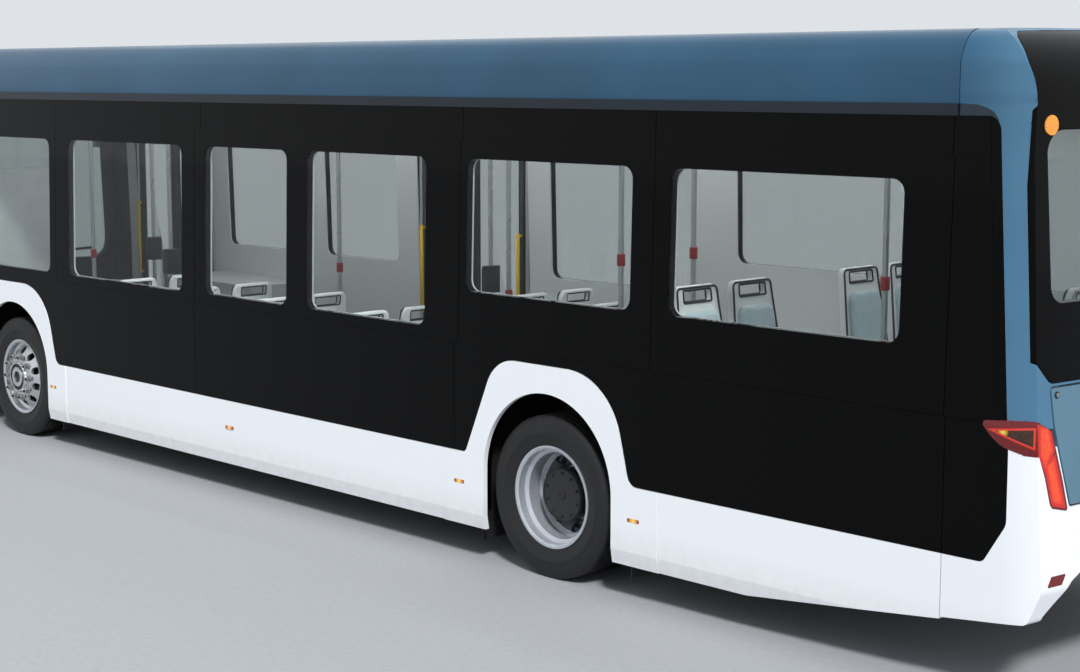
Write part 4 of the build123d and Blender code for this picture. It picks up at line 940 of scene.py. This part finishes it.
def formNormal(point, flat):  # the true form's normal for an outer face, so that long thin triangles don't show
    x, y, z = point
    side = 1 if y > 0 else -1
    if flat.y * side > 0.45 and abs(flat.x) < 0.45:  # on the sides
        slope = (halfWidth(z + 0.006) - halfWidth(z - 0.006)) / 0.012
        wanted = Vector((-cornerTurn(x, z) / roofShape["corner"][2], side, -slope))
    elif flat.x < -0.2 or (flat.z > 0.5 and x < -5.52):  # on the rear face and its rounding
        rise = (tailPlace(y, z + 0.004) - tailPlace(y, z - 0.004)) / 0.008
        wanted = Vector((-1, 2 * roofShape["bow"] * y, rise))
    else:
        return flat
    wanted.normalize()
    return wanted if wanted.dot(flat) > 0.7 else flat


def filledPiece(node, name, material, slot):
    piece = cutLevels(node)
    first, step, count = roofShape["cuts"]
    cutAcross(piece, ahead, [first - step * i for i in range(count)])
    mesh = piece.data
    for point in mesh.vertices:
        point.co = filledOut(point.co)
    smooth(piece, 180)
    mesh.update()
    mesh.normals_split_custom_set([formNormal(mesh.vertices[i].co, face.normal) for face in mesh.polygons
                                   for i in face.vertices])
    placed(name, [coloured(piece, material)], slot, node)


def makeFairing():
    low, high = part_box("roof_coves")
    outer = [(wallHalf, low.z)] + [(half, height) for height, half in roofShape["section"]]
    thick, taper = roofShape["thick"], roofShape["taper"]
    inner = []
    for y, z in outer:
        away = Vector((y - 1.0, z - 2.94)).normalized() if z > 2.945 else Vector((1, 0))
        inner.append((y - away.x * thick, z - away.y * thick))
    edgeY, edgeZ = roofShape["innerEdge"]
    corners = outer + [(edgeY, edgeZ), (edgeY, roofShape["wellFoot"]), (edgeY + thick, roofShape["wellFoot"]),
                       (edgeY + thick, edgeZ - thick)] + inner[::-1]
    fairing = startOutline("fairing", [(low.x, y, z) for y, z in corners], (high.x - low.x, 0, 0))
    cutAcross(fairing, ahead, [high.x - taper * step / 12 - 0.03 for step in range(12)])
    for point in fairing.data.vertices:  # eases in to the front dome's bevel
        share = held((point.co.x - high.x + taper) / taper)
        share = share * share * (3 - 2 * share)
        least = edgeY + (thick if point.co.y > edgeY + thick / 2 else 0)
        point.co.y += (max(least, point.co.y / between(shares, point.co.z)) - point.co.y) * share
    pair = copied(coloured(smooth(fairing, 32), blue), bothSides)
    placed("roofFairings", pair, "blue_paint", "roof_coves")


makeFairing()
filledPiece("rear_shell", "rearShell", cornerBluePaintedLightAndShadow, "blue_paint")
filledPiece("rear_panel", "rearPanel", blackPanel, "gloss_black")
filledPiece("rear_window", "rearWindow", screenGlass, "screen_glass")
filledPiece("amber_lamps", "amberLamps", markerLens, "lamp_amber")
print("roof fairings")

# Tail lamp covers: the clear side lens that stands a little proud of the corner, drawn to one smooth outline

coverShape = {
    "outline": [(-5.722, 1.323), (-5.708, 1.316), (-5.704, 1.300), (-5.728, 1.272), (-5.757, 1.245), (-5.790, 1.222),
                (-5.822, 1.206), (-5.900, 1.186), (-5.9715, 1.180), (-5.9715, 1.343), (-5.850, 1.335)],
    "thick": 0.008,
    "proud": 0.0030,
    "side": 1.269,
}


def fitLampCovers():
    thick = coverShape["thick"]
    cover = startOutline("lampCover", [(x, 0, z) for x, z in coverShape["outline"]], (0, thick, 0))
    soften(cover, 0.0016, 2, 60)
    cutAcross(cover, ahead, [-5.74 - 0.025 * step for step in range(9)])
    start, _, radius = roofShape["corner"]
    for point in cover.data.vertices:
        turnedIn = max(0, start - point.co.x) ** 2 / (2 * radius)
        point.co.y += coverShape["side"] + coverShape["proud"] - thick - turnedIn
    pair = copied(coloured(smooth(cover), tailLamp), bothSides)
    placed("lampCovers", pair, "lamp_red")


fitLampCovers()
print("lamp covers")


# Doors: black frames with tinted panes, and a yellow bar inside

def isPane(low, high):
    return high.y - low.y < 0.012 and high.z - low.z > 1


def fitDoors():
    for door in ("front", "middle"):
        for place in ("rear", "front"):
            node = f"{door}_door_{place}_leaf"
            name = door + "Door" + place.capitalize()
            placed(name + "Pane", [coloured(nodeCopy(node, isPane), sideGlass)], "door_black", body=node)
            leaf = nodeCopy(node, lambda low, high: not isPane(low, high))
            placed(name + "Leaf", [coloured(leaf, doorFinish)], "door_black", node, body=node)


fitDoors()
print("doors")

# Seats: shells from the frame, with blown pads, dark edges and the dark lining of each handle

seatSizes = {  # in a seat's own frame: x ahead of its origin, z above its foot
    "rearOf": 0.190,
    "lean": -0.090 / 0.610,
    "backPad": {"size": (0.030, 0.372, 0.455), "middle": (-0.086, 0, 0.650)},
    "seatPad": {"size": (0.375, 0.385, 0.026), "middle": (0.165, 0, 0.428), "rise": 0.0667},
    "travel": 0.011,
    "voxel": 0.006,
    "faces": 1500,
    "narrowing": (0.24, 0.330, 0.610),  # so much narrower, from this height, over so much
    "handle": {"low": 0.900, "high": 0.985, "half": 0.160, "middle": 0.945, "newMiddle": 0.948, "stretch": 1.45},
    "loops": [  # low, high, half width, corner, tube radius and place ahead of the back, of each dark ring
        (0.445, 0.995, 0.213, 0.075, 0.0065, 0.002), (0.915, 0.981, 0.148, 0.024, 0.0055, 0.001),
        (0.915, 0.981, 0.148, 0.024, 0.0055, -0.041),
    ],
    "grip": ((-0.176, -0.032, 0.868), (-0.168, 0.032, 0.890)),
}


def seatPlaces():
    places = []
    for low, high, top in partBoxes("passenger_seats"):
        forward = top < (low.x + high.x) / 2
        x = low.x + seatSizes["rearOf"] if forward else high.x - seatSizes["rearOf"]
        places.append(moved(x, (low.y + high.y) / 2, low.z) @ (Matrix.Identity(4) if forward else turned(pi, "Z")))
    return places


def blownPad(name, size):  # a crowned pad: a soft block, filled by cloth under pressure
    pad = startBlock(name, [-s / 2 for s in size], [s / 2 for s in size])
    thin = min(size)
    axis = size.index(thin)
    roundCorners(pad, 0.06, 6, lambda start, end: abs(start[axis] - end[axis]) > thin / 2)
    soften(pad, 0.012, 3, 60)
    modify(pad, "REMESH", mode="VOXEL", voxel_size=seatSizes["voxel"])
    start = [point.co.copy() for point in pad.data.vertices]
    takeUp(pad)
    bpy.ops.object.modifier_add(type="CLOTH")
    cloth = pad.modifiers[-1]
    cloth.settings.use_pressure = True
    cloth.settings.uniform_pressure_force = 4
    cloth.settings.effector_weights.gravity = 0
    for step in range(1, 21):
        bpy.context.scene.frame_set(step)
    bpy.ops.object.modifier_apply(modifier=cloth.name)
    bpy.context.scene.frame_set(1)
    for point, before in zip(pad.data.vertices, start):
        shift = point.co - before
        if shift.length > seatSizes["travel"]:
            point.co = before + shift.normalized() * seatSizes["travel"]
    modify(pad, "SUBSURF", levels=1, render_levels=1)
    modify(pad, "DECIMATE", ratio=min(1, seatSizes["faces"] / len(pad.data.polygons)))
    return coloured(smooth(pad, 80), seatCloth)


def makeSeatPads():
    backSizes, cushionSizes = seatSizes["backPad"], seatSizes["seatPad"]
    back = blownPad("backPad", backSizes["size"])
    back.data.transform(moved(*backSizes["middle"]) @ turned(seatSizes["lean"], "Y"))
    cushion = blownPad("seatPad", cushionSizes["size"])
    cushion.data.transform(moved(*cushionSizes["middle"]) @ turned(-cushionSizes["rise"], "Y"))
    return joined("seatPads", [back, cushion])


def tapered(piece):  # the back narrows from the cushion to its top, so all on it does
    amount, start, span = seatSizes["narrowing"]
    for point in piece.data.vertices:
        point.co.y *= 1 - amount * held((point.co.z - start) / span)
    return piece


def makeSeatShell(place):  # one shell of the frame's, brought home, narrowed upwards, its handle opened out
    first = partBoxes("passenger_seats")[0][0]
    shell = nodeCopy("passenger_seats", lambda low, high: (low - first).length < 0.002)
    shell.data.transform(place.inverted())
    handle = seatSizes["handle"]
    for point in shell.data.vertices:
        if handle["low"] < point.co.z < handle["high"] and abs(point.co.y) < handle["half"]:
            point.co.z = handle["newMiddle"] + (point.co.z - handle["middle"]) * handle["stretch"]
    return coloured(smooth(soften(tapered(shell), 0.005, 2, 50)), seatShell)


def loopOf(low, high, half, corner, radius, out):  # a rounded ring on the leaning back
    order = [(half, low + corner), (half, high - corner), (half, high), (half - corner, high), (-half + corner, high),
             (-half, high), (-half, high - corner), (-half, low + corner), (-half, low), (-half + corner, low),
             (half - corner, low), (half, low)]
    points = [(-0.060 + seatSizes["lean"] * (z - 0.400) + out, y, z) for y, z in order]
    return tube("loop", points, radius, closed=True)


def fitSeats():
    places = seatPlaces()
    shells = copied(makeSeatShell(places[0]), places)
    placed("passengerSeatShells", shells, "seat_plastic", "passenger_seats")
    pads = placed("passengerSeatPads", copied(tapered(makeSeatPads()), places), "driver_fabric")
    trims = [loopOf(*loop) for loop in seatSizes["loops"]]
    trims.append(soften(startBlock("grip", *seatSizes["grip"]), 0.003))
    trims = tapered(joined("trim", [coloured(piece, darkTrim) for piece in trims]))
    placed("seatEdges", copied(trims, places), "trim_black")


fitSeats()
print("seats")

# Ceiling lights, stop buttons and feet on the poles, and ticket readers

cabinSizes = {
    "lightHalf": 0.055,
    "railHalf": 0.075,
    "lightOuts": (-0.62, 0.62),
    "lightLow": 2.676,
    "railLow": 2.686,
    "railHigh": 2.6995,
    "lightEvery": 1.30,
    "pole": (1.5, 0.1),  # an upright pole is longer than this, and narrower
    "stopButton": (1.02, 0.075, 0.052),  # height above the pole's foot, length and width
    "poleFoot": (0.024, 0.075),
    "readers": [(-0.85, 0.262, 1.30), (2.6, 0.262, 1.30), (3.9, -0.4, 1.28), (-0.18, -0.70, 1.30)],
    "readerHalf": (0.045, 0.055),
    "readerHeight": 0.20,
}


def fitCeiling():
    sizes = cabinSizes
    low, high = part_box("roof_deck")
    half, every = sizes["lightHalf"], sizes["lightEvery"]
    pieces = []
    for out in sizes["lightOuts"]:
        rail = startBlock("rail", (low.x + 0.5, out - sizes["railHalf"], sizes["railLow"]),
                          (high.x - 0.9, out + sizes["railHalf"], sizes["railHigh"]))
        pieces.append(coloured(soften(rail, 0.004), roofShell))
        lens = startBlock("lens", (0, out - half, sizes["lightLow"]), (every - 0.09, out + half, 2.687))
        soften(lens, 0.006, 3)
        starts = []
        x = low.x + 0.6
        while x < high.x - 2.3:
            starts.append(moved(x, 0, 0))
            x += every
        pieces += copied(coloured(lens, lightPanel), starts)
    placed("ceilingLights", pieces, "lamp_clear")


def fitPoleDevices():
    (long, narrow), foot = cabinSizes["pole"], cabinSizes["poleFoot"]
    up, *button = cabinSizes["stopButton"]
    pieces = []
    for low, high, _ in partBoxes("grab_poles"):
        x, y = (low.x + high.x) / 2, (low.y + high.y) / 2
        if high.z - low.z < long or high.x - low.x > narrow:
            continue
        for z, height, width, material in ((low.z + up, *button, redBell), (low.z + foot[0] / 2, *foot, darkTrim),
                                           (high.z - foot[0] / 2, *foot, darkTrim)):
            collar = soften(startRound("collar", (x, y, z), width / 2, height, "Z", 20), 0.004)
            pieces.append(smooth(coloured(collar, material)))
    placed("poleFittings", pieces, "trim_black")


def fitReaders():
    long, wide = cabinSizes["readerHalf"]
    tall = cabinSizes["readerHeight"]
    pieces = []
    for x, y, z in cabinSizes["readers"]:
        case = startBlock("case", (x - long, y - wide, z), (x + long, y + wide, z + tall))
        roundCorners(case, 0.03, 3, lambda start, end: (
            min(start.z, end.z) > z + tall - 0.01 and min(start.x, end.x) > x))
        face = startBlock("face", (x + 0.0445, y - 0.035, z + 0.06), (x + 0.0475, y + 0.035, z + 0.13))
        pieces += [smooth(coloured(soften(case, 0.008, 3), darkTrim)), coloured(face, yellowGrip)]
    placed("ticketReaders", pieces, "trim_black")


fitCeiling()
fitPoleDevices()
fitReaders()
print("cabin fittings")

# Outside fittings: mirror panes, roof fans and lids, blank plates, the hatch's lock and the doors' buttons

fittingSizes = {
    "panes": ((0.145, 0.215), (0.020, 0.110)),  # each one's foot above the mirror's, and its height
    "fanRadius": 0.21,
    "fanEvery": 0.50,
    "fanOut": 0.28,
    "fanWire": 0.0022,
    "fanHoops": (0.30, 0.48, 0.66, 0.84),  # as shares of the fan's radius
    "fanBlades": 7,
    "coolerLength": 1.9,  # a unit longer than this is the air conditioning; the others are battery packs
    "handle": [(0.25, 0.006), (0.25, 0.045), (0.41, 0.045), (0.41, 0.006)],  # its bends, along and up
    "handleOut": 0.45,
    "lidInset": 0.035,
    "plate": (0.008, 0.52, 0.11),
    "plateSpots": ((-6.0865, 0.80, 4), (6.0560, 0.40, 17.9)),  # x, height and lean in degrees
    "lock": (-5.978, 1.098, 1.449),
    "button": 0.030,
}


def fitMirrorPanes():
    pieces = []
    for low, high, _ in partBoxes("mirrors"):
        rear = high.x - 0.090
        middle = high.y - 0.075 if high.y > 0 else low.y + 0.075
        for foot, height in fittingSizes["panes"]:
            bottom = low.z + foot
            pane = startBlock("pane", (rear - 0.004, middle - 0.060, bottom),
                              (rear + 0.001, middle + 0.060, bottom + height))
            roundCorners(pane, 0.020, 5, lambda start, end: abs(start.x - end.x) > 0.003)
            pieces.append(coloured(smooth(soften(pane, 0.0012, 2, 60)), mirrorGlass))
    placed("mirrorPanes", pieces, "trim_black")


def makeFan():  # a condenser fan: a cowl ring, a guard of hoops and spokes, the blades, a motor cap and a near-black disc of painted shadow under them
    radius, thin = fittingSizes["fanRadius"], fittingSizes["fanWire"]
    cowl = turnRing("cowl", [(0, radius), (0.028, radius), (0.034, radius - 0.006), (0.028, radius - 0.014),
                             (0, radius - 0.014)], 56)
    pieces = [coloured(cowl, darkTrim)]
    for share in fittingSizes["fanHoops"]:
        takeUp()
        bpy.ops.mesh.primitive_torus_add(major_radius=radius * share, minor_radius=thin, major_segments=40,
                                         minor_segments=6, location=(0, 0.030, 0), rotation=(pi / 2, 0, 0))
        pieces.append(coloured(named("hoop"), zinc))
    spoke = startRound("spoke", (radius / 2 + 0.02, 0.0255, 0), thin, radius - 0.05, "X", 6)
    pieces += copied(coloured(spoke, zinc), [turned(tau * i / 8, "Y") for i in range(8)])
    blade = startBlock("blade", (0.05, 0.010, -0.045), (radius - 0.024, 0.0125, 0.045))
    blade.data.transform(turned(radians(24), "X"))
    blades = fittingSizes["fanBlades"]
    pieces += copied(coloured(blade, darkTrim), [turned(tau * i / blades, "Y") for i in range(blades)])
    cap = soften(startRound("motorCap", (0, 0.012, 0), 0.058, 0.022, "Y", 32), 0.004)
    # painted shadow: a dark disc below the blades
    shadowDisc = startRound("fanWellShadowDisc", (0, 0.0015, 0), radius - 0.012, 0.003, "Y", 48)
    fan = smooth(joined("fan", pieces + [coloured(cap, darkTrim), coloured(shadowDisc, shadowPaint)]))
    fan.data.transform(turned(pi / 2, "X"))
    return fan


def fitRoofUnits():
    inset, every = fittingSizes["lidInset"], fittingSizes["fanEvery"]
    pieces, fanPlaces = [], []
    for low, high, _ in partBoxes("roof_units"):
        lid = startBlock("lid", (low.x + inset, low.y + inset, high.z - 0.001),
                         (high.x - inset, high.y - inset, high.z + 0.008))
        pieces.append(coloured(smooth(soften(lid, 0.004)), coverPaint))
        long = high.x - low.x
        count = max(2, round(long / 0.30))
        spots = [moved(low.x + inset + 0.03 + (long - 2 * inset - 0.06) * i / (count - 1), y, 0)
                 for i in range(count) for y in (low.y + inset + 0.022, high.y - inset - 0.022)]
        bolt = soften(startRound("bolt", (0, 0, high.z + 0.010), 0.009, 0.006, "Z", 6), 0.001)
        pieces += copied(coloured(bolt, zinc), spots)
        if long > fittingSizes["coolerLength"]:
            x = (low.x + high.x) / 2 - every * 1.5
            fanPlaces += [moved(x + i * every, y, high.z + 0.008) for i in range(4)
                          for y in (fittingSizes["fanOut"], -fittingSizes["fanOut"])]
        else:
            for side in (-1, 1):
                handle = tube("handle", [(low.x + x, side * fittingSizes["handleOut"], high.z + z)
                                         for x, z in fittingSizes["handle"]], 0.008)
                pieces.append(coloured(handle, zinc))
    pieces += copied(makeFan(), fanPlaces)
    placed("roofUnitFittings", pieces, "roof_equipment")


def fitPlatesAndButtons():
    thick, wide, tall = fittingSizes["plate"]
    pieces = []
    for x, z, lean in fittingSizes["plateSpots"]:
        for depth, grow, material in ((0, 0.008, darkTrim), (-0.004 if x < 0 else 0.004, 0, plateYellow)):
            plate = startBlock("plate", (x - thick / 2 + depth, -wide / 2 - grow, z - tall / 2 - grow),
                               (x + thick / 2 + depth, wide / 2 + grow, z + tall / 2 + grow))
            soften(plate, 0.0015)
            plate.data.transform(moved(x, 0, z) @ turned(radians(lean), "Y") @ moved(-x, 0, -z))
            pieces.append(coloured(smooth(plate), material))
    for door in ("front", "middle"):
        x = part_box(f"{door}_door_rear_leaf")[0].x - 0.11
        for y, share, material in ((-1.2700, 1, satinSteel), (-1.2725, 0.66, yellowGrip)):
            button = startRound("button", (x, y, 1.20), fittingSizes["button"] * share, 0.008, "Y", 32)
            pieces.append(coloured(smooth(soften(button, 0.0018)), material))
    placed("platesAndButtons", pieces, "trim_black")


def fitHatchLocks():
    x, y, z = fittingSizes["lock"]
    pieces = []
    for side in (-1, 1):
        for radius, out, material in ((0.016, 0.000, sealRubber), (0.011, 0.0018, zinc)):
            barrel = soften(startRound("lock", (x - out, side * y, z), radius, 0.010, "X", 24), 0.0015)
            pieces.append(coloured(smooth(barrel), material))
    placed("hatchLocks", pieces, "trim_black", body="rear_hatch")


fitMirrorPanes()
fitRoofUnits()
fitPlatesAndButtons()
fitHatchLocks()
print("outside fittings")

# Camera, floor and light

studio = {
    "cameraPlace": (-10.497, 8.642, 2.879),
    "aim": (0.7169, -0.6839, -0.1356),
    "lens": 63.3,
    "suns": (("key", (-0.85, 0.6, 1.0), 3.0, 9), ("fill", (0.6, -0.5, 0.9), 0.4, 60)),  # direction, strength, width
}


def standing(name, data, place, direction, track):
    holder = bpy.data.objects.new(name, data)
    bpy.context.scene.collection.objects.link(holder)
    holder.location = place
    holder.rotation_euler = Vector(direction).to_track_quat(track, "Y").to_euler()
    return holder


def setCamera():
    camera = bpy.data.cameras.new("camera")
    camera.lens = studio["lens"]
    camera.sensor_width = 36
    camera.clip_end = 500
    bpy.context.scene.camera = standing("camera", camera, studio["cameraPlace"], studio["aim"], "-Z")


def layFloor():
    takeUp()
    bpy.ops.mesh.primitive_circle_add(vertices=96, radius=160, fill_type="NGON", location=(0, 0, 0))
    floor = named("studioFloor")
    material, add, shader, coords = newMaterial("paleStudioFloor", "a9abae", 0.7)
    speck = add("MapRange", add("TexNoise", coords, mm=40, Detail=4.0), 0.3, 0.7)
    wire(shader, Base_Color=add("Mix RGBA", speck, "a6a8ab", "adafb2"))
    coloured(floor, material)


def setLight():
    world = bpy.data.worlds.new("studio")
    bpy.context.scene.world = world
    world.use_nodes = True
    world.node_tree.nodes.clear()
    add = partial(addNode, world.node_tree)
    seen = add("Math MAXIMUM", *(add("LightPath", out=f"Is {ray} Ray") for ray in ("Camera", "Glossy")))
    seen = add("Math MAXIMUM", seen, add("LightPath", out="Is Transmission Ray"))
    ambient = add("Background", Color="e9f0f8", Strength=0.68)
    backdrop = add("Background", Color="dfe3e7", Strength=1.0)
    add("OutputWorld", Surface=add("MixShader", seen, ambient, backdrop))
    for name, direction, strength, angle in studio["suns"]:
        lamp = bpy.data.lights.new(name, "SUN")
        lamp.energy = strength
        lamp.angle = radians(angle)
        standing(name, lamp, (0, 0, 0), direction, "Z")


setCamera()
layFloor()
setLight()
view = bpy.context.scene.view_settings
view.view_transform = "Standard"
